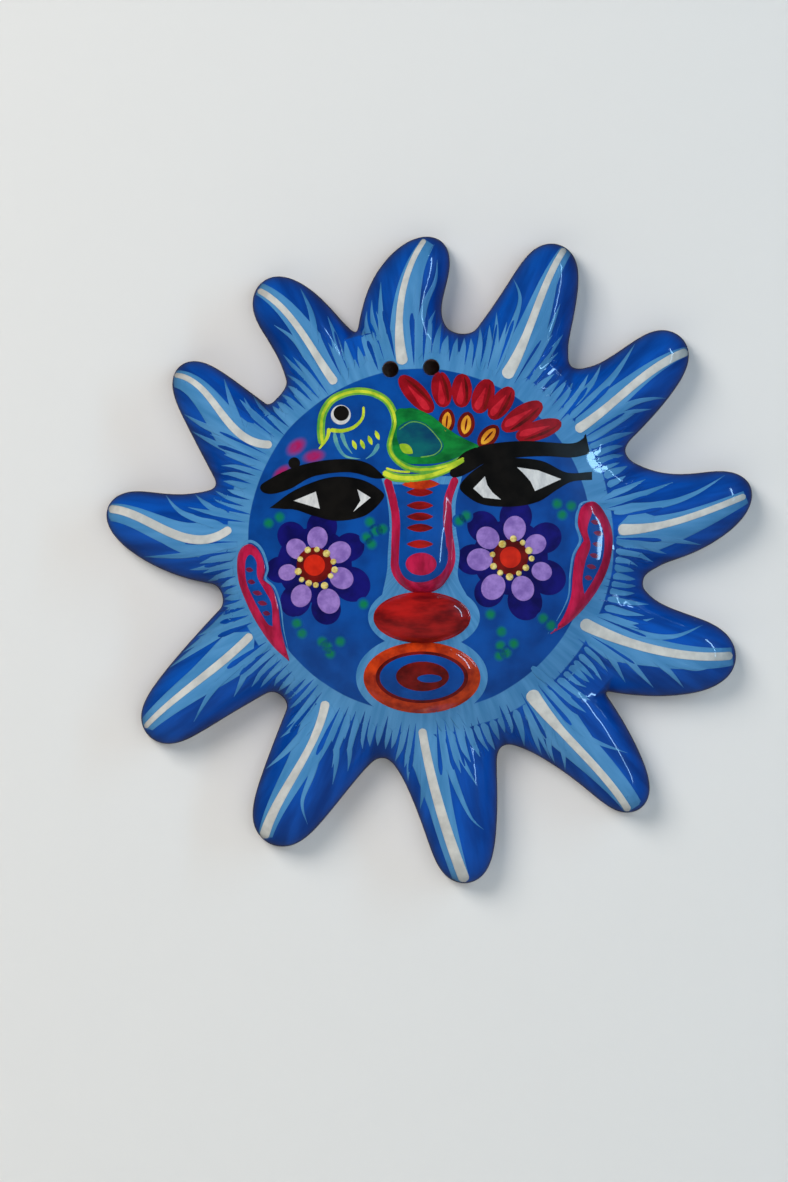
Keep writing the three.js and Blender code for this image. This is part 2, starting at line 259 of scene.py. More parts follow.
def coat_height(points):
    """Height of the painted front above the wall, in millimetres."""
    rays = ridge_height(points) * arch(coat_depth(points))
    return blend_over(dome_height(points), rays, SHOULDER_BLEND) + COAT_LIFT


print("height in the middle", round(float(coat_height(np.zeros((1, 2)))[0]), 2), "mm")

# %% [markdown]
# ## From a formula to a closed mesh
#
# A flat grid laid over the outline would leave ragged edges and stretched walls. So the outline is
# walked first, in small steps along the line where the depth is zero. Rings then climb the wall, each
# at its own depth, and a Delaunay fill covers the gently curved rest. The underside repeats the top's
# triangles, which closes the piece.

# %% Walk an outline and fill it
SLOPE_STEP = 0.02
LONGEST_MOVE = 1.5
MOST_STEPS = 8000
FIRST_ROUNDS = 12
STEP_ROUNDS = 2
FEWEST_WALKED = 8
CLOSED_WITHIN = 0.9
EDGE_GAP = 0.5
HOLE_GAP = 0.6
JUST_INSIDE = 0.999
TINY = 1e-9


def slope_of(field, points):
    """Value and slope of a field at each point, asked for in one call."""
    steps = np.array([[0, 0], [SLOPE_STEP, 0], [-SLOPE_STEP, 0], [0, SLOPE_STEP], [0, -SLOPE_STEP]])
    values = field((points[None] + steps[:, None]).reshape(-1, 2)).reshape(5, -1)
    slope = np.stack([values[1] - values[2], values[3] - values[4]], 1) / (2 * SLOPE_STEP)
    return values[0], slope


def settle(field, points, level, rounds=5):
    """Moves points along the slope until they lie on a level of the field."""
    for _ in range(rounds):
        value, slope = slope_of(field, points)
        move = slope * ((level - value) / np.maximum((slope**2).sum(1), TINY))[:, None]
        length = np.linalg.norm(move, axis=1)[:, None]
        points = points + move * np.minimum(1, LONGEST_MOVE / np.maximum(length, TINY))
    return points


def walk_outline(field, start, step):
    """One anticlockwise round of the field's zero line, as seen from the front."""
    point = settle(field, np.array([start], float), 0, FIRST_ROUNDS)
    walked = [point[0]]
    while len(walked) < MOST_STEPS:
        slope = slope_of(field, point)[1]
        forward = np.stack([slope[:, 1], -slope[:, 0]], 1)
        forward /= np.linalg.norm(forward)
        point = settle(field, point + forward * step, 0, STEP_ROUNDS)
        near_start = np.linalg.norm(point[0] - walked[0]) < CLOSED_WITHIN * step
        if len(walked) > FEWEST_WALKED and near_start:
            break
        walked.append(point[0])
    return np.array(walked)


def hex_grid(low, high, pitch):
    """Points of a triangular grid over a box, which fill well."""
    rows = np.arange(low[1], high[1], pitch * math.sqrt(3) / 2)
    grid = []
    for number, z in enumerate(rows):
        xs = np.arange(low[0] + (number % 2) * pitch / 2, high[0], pitch)
        grid.append(np.stack([xs, np.full(len(xs), z)], 1))
    return np.concatenate(grid)


def fill_loops(loops, inner_points):
    """Triangles inside the first loop. The other loops are only lines that the triangles keep to."""
    points = np.concatenate([*loops, inner_points])
    edges = []
    first = 0
    for loop in loops:
        count = len(loop)
        edges += [(first + i, first + (i + 1) % count) for i in range(count)]
        first += count
    filled = geometry.delaunay_2d_cdt([Vector(p) for p in points], edges, [], 1, 1e-6)
    corners = np.array([tuple(v) for v in filled[0]])
    triangles = np.array(filled[2])
    a, b, c = (corners[triangles[:, i]] for i in range(3))
    turn = (b - a)[:, 0] * (c - a)[:, 1] - (b - a)[:, 1] * (c - a)[:, 0]
    triangles[turn < 0] = triangles[turn < 0][:, ::-1]
    return corners, triangles[np.abs(turn) > TINY]


def in_frame(points, heights):
    """Places points of the front plane, with heights above the wall, in the frame in metres."""
    return np.stack([points[:, 0] + DISH_X, -heights, points[:, 1] + DISH_Z], 1) * MM


def new_piece(name, corners, faces, smooth=True):
    mesh = bpy.data.meshes.new(name)
    mesh.from_pydata([tuple(c) for c in corners], [], [tuple(int(i) for i in f) for f in faces])
    mesh.validate()
    if smooth:
        mesh.shade_smooth()
    piece = bpy.data.objects.new(name, mesh)
    bpy.context.scene.collection.objects.link(piece)
    return piece


def joined(parts):
    """Corners and faces of several meshes as those of one."""
    corners = []
    faces = []
    start = 0
    for some_corners, some_faces in parts:
        corners.append(some_corners)
        faces += [tuple(i + start for i in f) for f in some_faces]
        start += len(some_corners)
    return np.concatenate(corners), faces


def ring_wall(low_ring, high_ring):
    """Quads from one ring of corner numbers up to another."""
    count = len(low_ring)
    after = [(i + 1) % count for i in range(count)]
    return [(low_ring[i], low_ring[j], high_ring[j], high_ring[i]) for i, j in enumerate(after)]


def raise_form(name, depth, start, step, levels, pitch, top, under, holes=()):
    """A closed piece over the outline where depth is zero, between two height formulas."""
    rings = [walk_outline(depth, start, step)]
    for level in levels:
        rings.append(settle(depth, rings[-1], level))
    inside = hex_grid(rings[-1].min(0), rings[-1].max(0), pitch)
    inside = inside[depth(inside) > levels[-1] + EDGE_GAP * pitch * (levels[-1] - levels[-2])]
    hole_loops = []
    for centre, radii in holes:
        away = np.linalg.norm(inside - centre, axis=1)
        inside = inside[away > radii[-1] + HOLE_GAP * pitch]
        turns = np.linspace(0, 2 * math.pi, HOLE_SIDES, endpoint=False)
        round_of = np.stack([np.cos(turns), np.sin(turns)], 1)
        hole_loops += [centre + round_of * radius for radius in radii]
    fill, triangles = fill_loops([rings[-1], *hole_loops], inside)
    for centre, radii in holes:
        middle_of = fill[triangles].mean(1)
        triangles = triangles[np.linalg.norm(middle_of - centre, axis=1) > radii[0] * JUST_INSIDE]
    plan = np.concatenate([*rings[:-1], fill])
    wide = len(rings[0])
    ring_numbers = [np.arange(wide) + i * wide for i in range(len(rings))]
    faces = []
    for lower, higher in zip(ring_numbers, ring_numbers[1:]):
        faces += ring_wall(lower, higher)
    faces += [tuple(t) for t in triangles + (len(rings) - 1) * wide]
    count = len(plan)
    closed = faces + [tuple(i + count for i in reversed(f)) for f in faces]
    closed += ring_wall(ring_numbers[0] + count, ring_numbers[0])
    first_hole = len(rings) * wide
    for number, (centre, radii) in enumerate(holes):
        mouth = first_hole + number * len(radii) * HOLE_SIDES + np.arange(HOLE_SIDES)
        closed += ring_wall(mouth, mouth + count)
    corners = np.concatenate([in_frame(plan, top(plan)), in_frame(plan, under(plan))])
    return new_piece(name, corners, closed)


# %% [markdown]
# ## The painted coat over the dish and the rays
#
# The clay pieces stay in the frame and show from behind. Over their fronts goes one continuous coat,
# as slip and paint cover the joints of the real plaque. It wraps the two hanging holes with a rounded
# lip, because glaze draws back from a sharp edge.

# %% Make the coat
HOLE_DIAMETER = 9.1
HOLE_SPACING = 22.4
HOLE_RISE = 1
HOLE_SIDES = 48
HOLE_LIP = 1.2
LIP_STEPS = 5
HOLE_RADIUS = HOLE_DIAMETER / 2 - 0.1
COAT_THICKNESS = 1.0
LEAST_TOP = 0.5
LEAST_UNDER = 0.3
WALL_ANGLES = (4, 9, 15, 22, 30, 39, 49)
COAT_STEP = 1.3
COAT_PITCH = 2.1

hang_point = np.array([-DISH_X, -DISH_Z])
hole_centres = [hang_point + np.array([side * HOLE_SPACING, side * HOLE_RISE]) / 2 for side in (-1, 1)]
hole_radii = [HOLE_RADIUS + HOLE_LIP * (i / LIP_STEPS) ** 1.5 for i in range(LIP_STEPS + 1)]
wall_levels = [1 - math.cos(math.radians(a)) ** (2 / FULLNESS) for a in WALL_ANGLES]


def coat_top(points):
    height = coat_height(points)
    for centre in hole_centres:
        away = np.linalg.norm(points - centre, axis=1) - HOLE_RADIUS
        share = np.clip(1 - away / HOLE_LIP, 0, 1)
        height = height - HOLE_LIP * (1 - np.sqrt(1 - share**2))
    return np.maximum(height, LEAST_TOP)


def bare_height(points):
    """Height of the clay under the coat, without soft joints."""
    if len(points) > BATCH:
        return in_batches(bare_height, points)
    return np.maximum(dome_height(points), ridge_height(points) * arch(ray_depths(points).max(1)))


def coat_under(points):
    lower = np.minimum(coat_top(points), bare_height(points))
    return np.maximum(lower - COAT_THICKNESS, LEAST_UNDER)


coat_start = polar(DISH_RADIUS + RAYS[1]["length"] + 1, RAYS[1]["tip"])
coat = raise_form(
    "painted_coat",
    coat_depth,
    coat_start,
    COAT_STEP,
    wall_levels,
    COAT_PITCH,
    coat_top,
    coat_under,
    [(centre, hole_radii) for centre in hole_centres],
)
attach(coat, "root")
print("coat of", len(coat.data.polygons), "faces")

# %% [markdown]
# ## Finishes
#
# Lacquered paint is a colour with a clear, smooth layer on top, so every glaze here is a Principled
# shader with its Coat on. What makes it look hand-painted is in the colour: a brush loaded with paint
# leaves streaks along its path and thin places. Stretched noise, read from Object coordinates, gives
# those streaks. A small class lets the maths be written as plain expressions.

# %% Write shader maths as expressions
def add(tree, kind, settings=None, sockets=None):
    """Adds a node: its settings first, then the values or links of its sockets."""
    made = tree.nodes.new(kind)
    for name, value in (settings or {}).items():
        setattr(made, name, value)
    for name, value in (sockets or {}).items():
        socket = made.inputs[name]
        if isinstance(value, Wire):
            tree.links.new(value.socket, socket)
        elif isinstance(value, bpy.types.NodeSocket):
            tree.links.new(value, socket)
        else:
            socket.default_value = value
    return made


def out(tree, kind, sockets=None, settings=None):
    """The first output of a new node."""
    return add(tree, kind, settings, sockets).outputs[0]


class Wire:
    """A socket in a node tree. Arithmetic on it adds Math nodes."""

    def __init__(self, tree, socket):
        self.tree = tree
        self.socket = socket

    def combined(self, operation, *values):
        sockets = dict(enumerate(values))
        return Wire(self.tree, out(self.tree, "ShaderNodeMath", sockets, {"operation": operation}))

    def __add__(self, other):
        return self.combined("ADD", self, other)

    def __radd__(self, other):
        return self.combined("ADD", other, self)

    def __sub__(self, other):
        return self.combined("SUBTRACT", self, other)

    def __rsub__(self, other):
        return self.combined("SUBTRACT", other, self)

    def __mul__(self, other):
        return self.combined("MULTIPLY", self, other)

    def __rmul__(self, other):
        return self.combined("MULTIPLY", other, self)

    def __truediv__(self, other):
        return self.combined("DIVIDE", self, other)

    def __pow__(self, other):
        return self.combined("POWER", self, other)

    def between(self, low, high):
        """0 at low, 1 at high and smooth between."""
        sockets = {0: self, 1: low, 2: high}
        settings = {"interpolation_type": "SMOOTHSTEP"}
        return Wire(self.tree, out(self.tree, "ShaderNodeMapRange", sockets, settings))


def tint(red, green, blue):
    """A colour from its screen values, 0 to 255, as the linear light that shaders use."""
    shares = [value / 255 for value in (red, green, blue)]
    linear = [s / 12.92 if s <= 0.04045 else ((s + 0.055) / 1.055) ** 2.4 for s in shares]
    return (*linear, 1)


def mixed(tree, factor, first, second):
    """A colour between two colours."""
    node = add(tree, "ShaderNodeMix", {"data_type": "RGBA"}, {0: factor, 6: first, 7: second})
    return node.outputs[2]


def sun_place(tree):
    """Object coordinates moved to the dish's centre, and split: right, out of the wall, up, in metres."""
    coordinates = add(tree, "ShaderNodeTexCoord").outputs["Object"]
    shift = (-DISH_X * MM, 0, -DISH_Z * MM)
    moved = out(tree, "ShaderNodeMapping", {"Vector": coordinates, "Location": shift})
    split = add(tree, "ShaderNodeSeparateXYZ", None, {0: moved}).outputs
    return moved, Wire(tree, split[0]), Wire(tree, split[1]) * -1, Wire(tree, split[2])


def noise(tree, vector, scale, detail=2.0, roughness=0.5):
    sockets = {"Vector": vector, "Scale": scale, "Detail": detail, "Roughness": roughness}
    return Wire(tree, out(tree, "ShaderNodeTexNoise", sockets))


def radial_streaks(tree, fineness, length):
    """Noise drawn out along lines from the dish's centre, as the brush was pulled."""
    _, right, _, up = sun_place(tree)
    radius = (right * right + up * up) ** 0.5 + 0.0001
    sockets = {0: right / radius * fineness, 1: up / radius * fineness, 2: radius / length}
    fan = out(tree, "ShaderNodeCombineXYZ", sockets)
    return noise(tree, fan, 1.0, 3.0)


GRAIN = 0.00012
BRUSH_SCALE = 260.0
RIPPLE_SHARE = 0.35
RELIEF_STRENGTH = 0.6
LEAST_ROUGH = 0.28
ROUGH_RANGE = 0.2
CLEAR_COAT = {"Specular IOR Level": 0.2, "Coat Weight": 1.0, "Coat Roughness": 0.035}
STREAK_EDGE = 0.28
WASH_FULL = 0.75
WASH_STREAKS = 500.0
WASH_COVER = (0.55, 0.7)


def new_finish(name, paint, surface):
    """A material: paint(tree) gives its colour, and surface(tree) its relief and its roughness."""
    material = bpy.data.materials.new(name)
    material.use_nodes = True
    tree = material.node_tree
    shader = tree.nodes["Principled BSDF"]
    relief, roughness = surface(tree)
    tree.links.new(paint(tree), shader.inputs["Base Color"])
    tree.links.new(out(tree, "ShaderNodeBump", relief), shader.inputs["Normal"])
    tree.links.new(roughness.socket, shader.inputs["Roughness"])
    return material, shader


def brush_relief(tree):
    place = sun_place(tree)[0]
    ripple = noise(tree, place, BRUSH_SCALE, 2.0)
    broad = noise(tree, place, BRUSH_SCALE / 6, 1.0)
    height = ripple * RIPPLE_SHARE + broad
    relief = {"Height": height, "Distance": GRAIN, "Strength": RELIEF_STRENGTH}
    return relief, LEAST_ROUGH + ripple * ROUGH_RANGE


def lacquered(name, paint):
    """A glaze: paint(tree) gives its colour, clear lacquer lies on top and faint brush relief shows."""
    material, shader = new_finish(name, paint, brush_relief)
    for title, value in CLEAR_COAT.items():
        shader.inputs[title].default_value = value
    return material


def brushed(dark, light, scale):
    """Paint between two tints, in streaks whose fineness differs along the three axes."""

    def paint(tree):
        place = sun_place(tree)[0]
        stretched = out(tree, "ShaderNodeMapping", {"Vector": place, "Scale": scale})
        streak = noise(tree, stretched, 1.0, 3.0, 0.6)
        return mixed(tree, streak.between(STREAK_EDGE, 1 - STREAK_EDGE), dark, light)

    return paint


# %% The paints of the face and the rays
FACE_RADIUS = 94
FACE_SHIFT = (-3.9, 1.1)
COLLAR_RADIUS = 106
COLLAR_WAVE = 2
FACE_DARK = tint(3, 62, 138)
FACE_LIGHT = tint(6, 80, 166)
RAY_DARK = tint(2, 60, 142)
RAY_LIGHT = tint(6, 86, 186)
COLLAR_DARK = tint(60, 128, 182)
COLLAR_LIGHT = tint(90, 154, 206)
# Painted reflection and painted shade: the dark purple that the rays' sides take on near the wall
WALL_REFLECTION_AND_SHADE = tint(52, 48, 110)
WALL_SHADE = 0.75
WALL_HEIGHTS = (0.001, 0.012)
FACE_CLOUDS = 60.0
COLLAR_STREAKS = (26.0, 0.03)
RAY_STREAKS = (20.0, 0.04)
WOBBLE_SCALE = 30.0
FACE_WOBBLE = 0.002


def face_paint(tree):
    cloud = noise(tree, sun_place(tree)[0], FACE_CLOUDS, 3.0)
    return mixed(tree, cloud.between(0.3, 0.7), FACE_DARK, FACE_LIGHT)


def collar_paint(tree):
    streak = radial_streaks(tree, *COLLAR_STREAKS)
    return mixed(tree, streak.between(0.15, 0.85), COLLAR_DARK, COLLAR_LIGHT)


def ray_paint(tree):
    streak = radial_streaks(tree, *RAY_STREAKS)
    _, _, height, _ = sun_place(tree)
    blue = mixed(tree, streak.between(0.3, 0.7), RAY_DARK, RAY_LIGHT)
    # Painted reflection and painted shade: within about twelve millimetres of the wall the rays' sides are
    # mixed towards a dark purple, standing in for the wall mirrored in the lacquer and the shade there
    return mixed(tree, WALL_SHADE - height.between(*WALL_HEIGHTS) * WALL_SHADE, blue, WALL_REFLECTION_AND_SHADE)


def coat_paint(tree):
    """Cobalt face, pale collar and cobalt rays, told apart by their distance from the face's middle."""
    place, right, _, up = sun_place(tree)
    aside = right - FACE_SHIFT[0] * MM
    above = up - FACE_SHIFT[1] * MM
    radius = (aside * aside + above * above) ** 0.5
    wobble = noise(tree, place, WOBBLE_SCALE, 1.0) - 0.5
    face = face_paint(tree)
    at_face = radius + wobble * FACE_WOBBLE
    at_collar = at_face.between((FACE_RADIUS - 0.3) * MM, (FACE_RADIUS + 0.3) * MM)
    beyond = radius + wobble * (2 * COLLAR_WAVE * MM)
    at_rays = beyond.between((COLLAR_RADIUS - 0.4) * MM, (COLLAR_RADIUS + 0.4) * MM)
    return mixed(tree, at_rays, mixed(tree, at_collar, face, collar_paint(tree)), ray_paint(tree))


def thinned(colour):
    """Watery paint over the face: the mesh says how thickly it lies at each point, from 0 to 1."""

    def paint(tree):
        thick = add(tree, "ShaderNodeAttribute", {"attribute_name": "thickness"}).outputs["Fac"]
        streak = noise(tree, sun_place(tree)[0], WASH_STREAKS, 2.0)
        least, more = WASH_COVER
        cover = Wire(tree, thick).between(0.0, WASH_FULL) * (streak * more + least)
        return mixed(tree, cover, face_paint(tree), colour)

    return paint


EVEN_STREAKS = (90, 90, 90)
FLAT_STREAKS = (120, 90, 120)

# The darker and the lighter screen colour of each glaze, and how fine its streaks are along each axis
TWO_TINTS = {
    "warm_white": ((192, 193, 190), (218, 218, 213), (120, 60, 120)),
    "black": ((6, 6, 6), (20, 18, 16), EVEN_STREAKS),
    "eye_white": ((188, 190, 192), (226, 226, 224), (300, 100, 120)),
    "magenta": ((150, 14, 52), (204, 30, 80), (160, 160, 60)),
    "crimson": ((96, 8, 12), (182, 26, 24), (46, 90, 150)),
    "orange_red": ((150, 36, 14), (218, 68, 18), FLAT_STREAKS),
    "dark_red": ((74, 10, 10), (128, 20, 16), EVEN_STREAKS),
    "petal_dark": ((128, 8, 20), (168, 16, 32), FLAT_STREAKS),
    "petal_red": ((176, 18, 34), (212, 38, 54), FLAT_STREAKS),
    "bright_red": ((176, 26, 14), (222, 44, 20), EVEN_STREAKS),
    "navy": ((8, 8, 78), (20, 18, 116), EVEN_STREAKS),
    "lilac": ((128, 98, 176), (164, 132, 208), (200, 90, 200)),
    "leaf_green": ((4, 88, 40), (20, 146, 60), (70, 70, 130)),
    "lime": ((60, 150, 62), (132, 186, 60), (110, 90, 110)),
    "pale_lime": ((64, 138, 168), (120, 182, 150), (110, 90, 110)),
    "yellow_green": ((132, 176, 34), (222, 230, 62), (110, 90, 110)),
    "bead_yellow": ((196, 160, 56), (246, 232, 150), (400, 400, 400)),
    "seed_orange": ((206, 120, 24), (244, 178, 52), EVEN_STREAKS),
    "teal": ((6, 62, 96), (8, 104, 104), (60, 60, 90)),
    "maroon": ((96, 20, 60), (140, 34, 70), EVEN_STREAKS),
}
PAINTS = {"pale_blue": collar_paint, "cobalt": ray_paint, "face_blue": face_paint}
for name, (dark, light, streaks) in TWO_TINTS.items():
    PAINTS[name] = brushed(tint(*dark), tint(*light), streaks)
PAINTS["wash_green"] = thinned(tint(10, 128, 78))
PAINTS["wash_pink"] = thinned(tint(168, 24, 92))

coat.data.materials.append(lacquered("cobalt_and_pale_blue", coat_paint))
GLAZES = {name: lacquered(name, paint) for name, paint in PAINTS.items()}

# %% [markdown]
# ## Bare clay behind
#
# The back of such a plaque is left unglazed. Low-fired earthenware is a dull orange-brown, darker
# where a wet sponge pressed it, with small pits from the grog. The clay pieces from the frame keep
# their own meshes and only get this finish.

# %% The clay of the frame's pieces
def clay_paint(tree):
    place = sun_place(tree)[0]
    cloud = noise(tree, place, 28.0, 4.0, 0.6)
    fleck = noise(tree, place, 900.0, 2.0)
    body = mixed(tree, cloud.between(0.3, 0.7), tint(150, 84, 52), tint(192, 122, 80))
    return mixed(tree, fleck.between(0.62, 0.72) * 0.5, body, tint(112, 60, 38))


def clay_relief(tree):
    place = sun_place(tree)[0]
    pits = noise(tree, place, 700.0, 3.0)
    sponge = noise(tree, place, 90.0, 2.0)
    relief = {"Height": pits * 0.4 + sponge, "Distance": 0.0004, "Strength": 0.8}
    return relief, 0.75 + sponge * 0.2


clay = new_finish("bare_clay", clay_paint, clay_relief)[0]
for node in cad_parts.values():
    node.data.materials.clear()
    node.data.materials.append(clay)

# %% [markdown]
# ## Raised features
#
# The nose and lips are pads of clay pressed on and smoothed down at the edge, so each rises from the
# face in a soft foot instead of a step. The height is the pad's own round form, melted into the face
# by the same smooth maximum. The ears are low leaves with a notch, as a potter cuts them from a slab.

# %% Formulas of the pads
FEATURE_X = -3.0
NOSE_TOP = 33.7
NOSE_LENGTH = 60.8
NOSE_HALVES = (19, 16, 18)
NOSE_RISES = (3.5, 13)
SLIP_GAP = 0.3
UPPER_LIP = (25.7, 13.6)
LOWER_LIP = (31, 19)
LIP_RISE = 8
EAR_RISE = 2.6
EAR_HALF = 6
FOOT = 1.2
FOOT_FALL = 30
NOSE_SWELL = 1.6
PAD_STEEPNESS = 0.7

UPPER_LIP_Z = NOSE_TOP - NOSE_LENGTH - SLIP_GAP - UPPER_LIP[1]
LOWER_LIP_Z = UPPER_LIP_Z - UPPER_LIP[1] - SLIP_GAP - LOWER_LIP[1]


def nose_depth(points):
    down = (NOSE_TOP - points[:, 1]) / NOSE_LENGTH
    bridge, waist, tip = NOSE_HALVES
    swell = np.abs(2 * np.clip(down, 0, 1) - 1) ** NOSE_SWELL
    half = waist + np.where(down < 0.5, bridge - waist, tip - waist) * swell
    top_round = 1 - np.maximum(1 - down, 0) ** (2 * NOSE_LENGTH / bridge)
    end_round = 1 - np.maximum(down, 0) ** (2 * NOSE_LENGTH / tip)
    return round_depth(np.minimum(top_round, end_round), (points[:, 0] - FEATURE_X) / half)


def nose_rise(points):
    down = np.clip((NOSE_TOP - points[:, 1]) / NOSE_LENGTH, 0, 1)
    return NOSE_RISES[0] + (NOSE_RISES[1] - NOSE_RISES[0]) * down


def oval_depth(points, centre_z, halves):
    across = (points[:, 0] - FEATURE_X) / halves[0]
    up = (points[:, 1] - centre_z) / halves[1]
    return 1 - np.sqrt(across**2 + up**2)


def inside_distance(points, loop):
    """Distance of each point inside a closed line, less than zero outside."""
    after = np.roll(loop, -1, 0)
    side = after - loop
    away = points[:, None] - loop[None]
    share = np.clip((away * side).sum(2) / np.maximum((side**2).sum(1), 1e-12), 0, 1)
    distance = np.linalg.norm(away - share[..., None] * side, axis=2).min(1)
    x, z = points[:, :1], points[:, 1:]
    straddles = (loop[:, 1] > z) != (after[:, 1] > z)
    height = np.where(side[:, 1] == 0, 1e-12, side[:, 1])
    crossing = straddles & (x < loop[:, 0] + (z - loop[:, 1]) / height * side[:, 0])
    return np.where(crossing.sum(1) % 2 == 1, distance, -distance)


def smooth_line(points, pitch, closed=False, corners=()):
    """A soft curve through points, with sharp turns where corners says, as even short steps."""
    count = len(points)
    spans = count if closed else count - 1
    made = []
    for i in range(spans):
        a, b = points[i], points[(i + 1) % count]
        before = points[i - 1] if closed or i > 0 else a
        beyond = points[(i + 2) % count] if closed or i + 2 < count else b
        leave = (b - a) if i in corners else (b - before) / 2
        arrive = (b - a) if (i + 1) % count in corners else (beyond - a) / 2
        steps = max(2, math.ceil(np.linalg.norm(b - a) / pitch))
        t = np.linspace(0, 1, steps, endpoint=False)[:, None]
        curve = (2 * t**3 - 3 * t**2 + 1) * a + (t**3 - 2 * t**2 + t) * leave
        made.append(curve + (3 * t**2 - 2 * t**3) * b + (t**3 - t**2) * arrive)
    if not closed:
        made.append(points[-1:])
    return np.concatenate(made)


EAR_PITCH = 1.2
LEFT_EAR = [(239, 560), (243, 549), (252, 545), (261, 553), (266, 568), (264, 580), (273, 588), (279, 606)]
LEFT_EAR += [(282, 630), (290, 660), (274, 645), (258, 622), (247, 600), (240, 580)]
LEFT_EAR_CORNERS = (5, 9)
PAD_STEP = 0.9
PAD_PITCH = 1.3
PAD_LIFT = 0.03
PAD_SUNK = 0.6
RIGHT_EAR = [(592, 503), (603, 515), (610, 535), (608, 560), (599, 583), (584, 605), (567, 622), (549, 633)]
RIGHT_EAR += [(561, 618), (569, 597), (571, 575), (574, 555), (582, 541), (576, 524), (580, 508)]
RIGHT_EAR_CORNERS = (7, 12)
left_ear_loop = smooth_line(spots(LEFT_EAR), EAR_PITCH, True, LEFT_EAR_CORNERS)
right_ear_loop = smooth_line(spots(RIGHT_EAR), EAR_PITCH, True, RIGHT_EAR_CORNERS)


def pad_arch(share):
    """A pad's own profile, steep at the foot and flat on the crown."""
    return (1 - (1 - np.clip(share, 0, 1)) ** FULLNESS) ** PAD_STEEPNESS


def raised(depth, rise):
    """How far a pad stands above the face, with its soft foot."""
    own = np.where(depth > 0, rise * pad_arch(depth), depth * FOOT_FALL)
    return np.maximum(blend_over(own, 0 * own, FOOT), 0)


PADS = {
    "nose": (nose_depth, nose_rise),
    "upper_lip": (lambda p: oval_depth(p, UPPER_LIP_Z, UPPER_LIP), lambda p: LIP_RISE),
    "lower_lip": (lambda p: oval_depth(p, LOWER_LIP_Z, LOWER_LIP), lambda p: LIP_RISE),
    "ear_left": (lambda p: inside_distance(p, left_ear_loop) / EAR_HALF, lambda p: EAR_RISE),
    "ear_right": (lambda p: inside_distance(p, right_ear_loop) / EAR_HALF, lambda p: EAR_RISE),
}


def front_height(points):
    """Height of the finished front, coat and pads together."""
    if len(points) > BATCH:
        return in_batches(front_height, points)
    stand = [raised(depth(points), rise(points)) for depth, rise in PADS.values()]
    return coat_top(points) + np.max(stand, axis=0)


# %% Make the pads
FOOT_DEPTH = FOOT / FOOT_FALL
PAD_LEVELS = (0.03, 0.07, 0.12, 0.2, 0.3)
PAD_START = {
    "nose": (FEATURE_X, NOSE_TOP - NOSE_LENGTH),
    "upper_lip": (FEATURE_X, UPPER_LIP_Z - UPPER_LIP[1]),
    "lower_lip": (FEATURE_X, LOWER_LIP_Z - LOWER_LIP[1]),
    "ear_left": left_ear_loop[2],
    "ear_right": right_ear_loop[2],
}
PAD_FINISH = {
    "nose": ("magenta", "nose_glaze"),
    "upper_lip": ("crimson", "lip_red"),
    "lower_lip": ("orange_red", "lip_orange"),
    "ear_left": ("magenta", "ear_glaze"),
    "ear_right": ("magenta", "ear_glaze"),
}


def make_pad(name):
    depth, rise = PADS[name]
    glaze, slot = PAD_FINISH[name]
    pad = raise_form(
        "painted_" + name,
        lambda p: depth(p) + FOOT_DEPTH,
        PAD_START[name],
        PAD_STEP,
        PAD_LEVELS,
        PAD_PITCH,
        lambda p: coat_top(p) + raised(depth(p), rise(p)) + PAD_LIFT,
        lambda p: coat_top(p) - PAD_SUNK,
    )
    pad.data.materials.append(GLAZES[glaze])
    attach(pad, "root")
    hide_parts(name)
    print(pad.name, "has", len(pad.data.polygons), "faces")
    return pad


pads = [make_pad(name) for name in PADS]

# %% [markdown]
# ## Paint as a thin skin
#
# An image texture would carry the whole picture, but a real brush mark has thickness, and thick lacquered
# paint catches light at its edge. So each flat shape of colour is its own closed skin, a tenth of
# a millimetre thick, that follows the front. Shapes painted later lie a little higher.

# %% Cut a painted shape from its outline
PATCH_PITCH = 1.5
FINE_PITCH = 0.85
PATCH_EDGE = 0.7
SKIN_GAP = 0.45
DAB_STEPS = 16
LEAF_STEPS = 8
LAYER = 0.03
FIRST_LAYER = 0.06
SUNK = 0.25
TIE_BREAK = 0.001
RIM_ANGLE = math.radians(50)
painted = []


def lifted(points, lift, surface):
    """Points of the front plane laid on a surface and raised square to it, in metres."""
    height, slope = slope_of(surface, points)
    across = np.stack([-slope[:, 0], -np.ones(len(points)), -slope[:, 1]], 1)
    across /= np.linalg.norm(across, axis=1)[:, None]
    return in_frame(points, height) + across * lift * MM


def skin_of(loop, lift, pitch, surface):
    """Corners and faces of one closed skin over a loop."""
    if np.sum(loop[:, 0] * np.roll(loop[:, 1], -1) - np.roll(loop[:, 0], -1) * loop[:, 1]) < 0:
        loop = loop[::-1]
    grid = hex_grid(loop.min(0), loop.max(0), pitch)
    grid = grid[inside_distance(grid, loop) > SKIN_GAP * pitch]
    plan, triangles = fill_loops([loop], grid)
    count = len(plan)
    faces = [tuple(t) for t in triangles]
    faces += [tuple(i + count for i in reversed(f)) for f in faces]
    edge = np.arange(len(loop))
    faces += ring_wall(edge + count, edge)
    return np.concatenate([lifted(plan, lift, surface), lifted(plan, -SUNK, surface)]), faces


def lift_of(layer):
    """How far a skin lies above the front: by its layer, and a trace more for each skin before it."""
    return FIRST_LAYER + LAYER * layer + TIE_BREAK * len(painted)


def finish_skin(piece, glaze):
    piece.data.set_sharp_from_angle(angle=RIM_ANGLE)
    piece.data.materials.append(GLAZES[glaze])
    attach(piece, "root")
    painted.append(piece)


def painted_shapes(name, loops, layer, glaze, slot="face_glaze", surface=front_height):
    """One piece of flat painted shapes in one colour."""
    pitch = PATCH_PITCH if slot == "face_glaze" else FINE_PITCH
    lift = lift_of(layer)
    finish_skin(new_piece(name, *joined(skin_of(loop, lift, pitch, surface) for loop in loops)), glaze)


def shape(pixels, corners=()):
    return smooth_line(spots(pixels), PATCH_EDGE, True, corners)


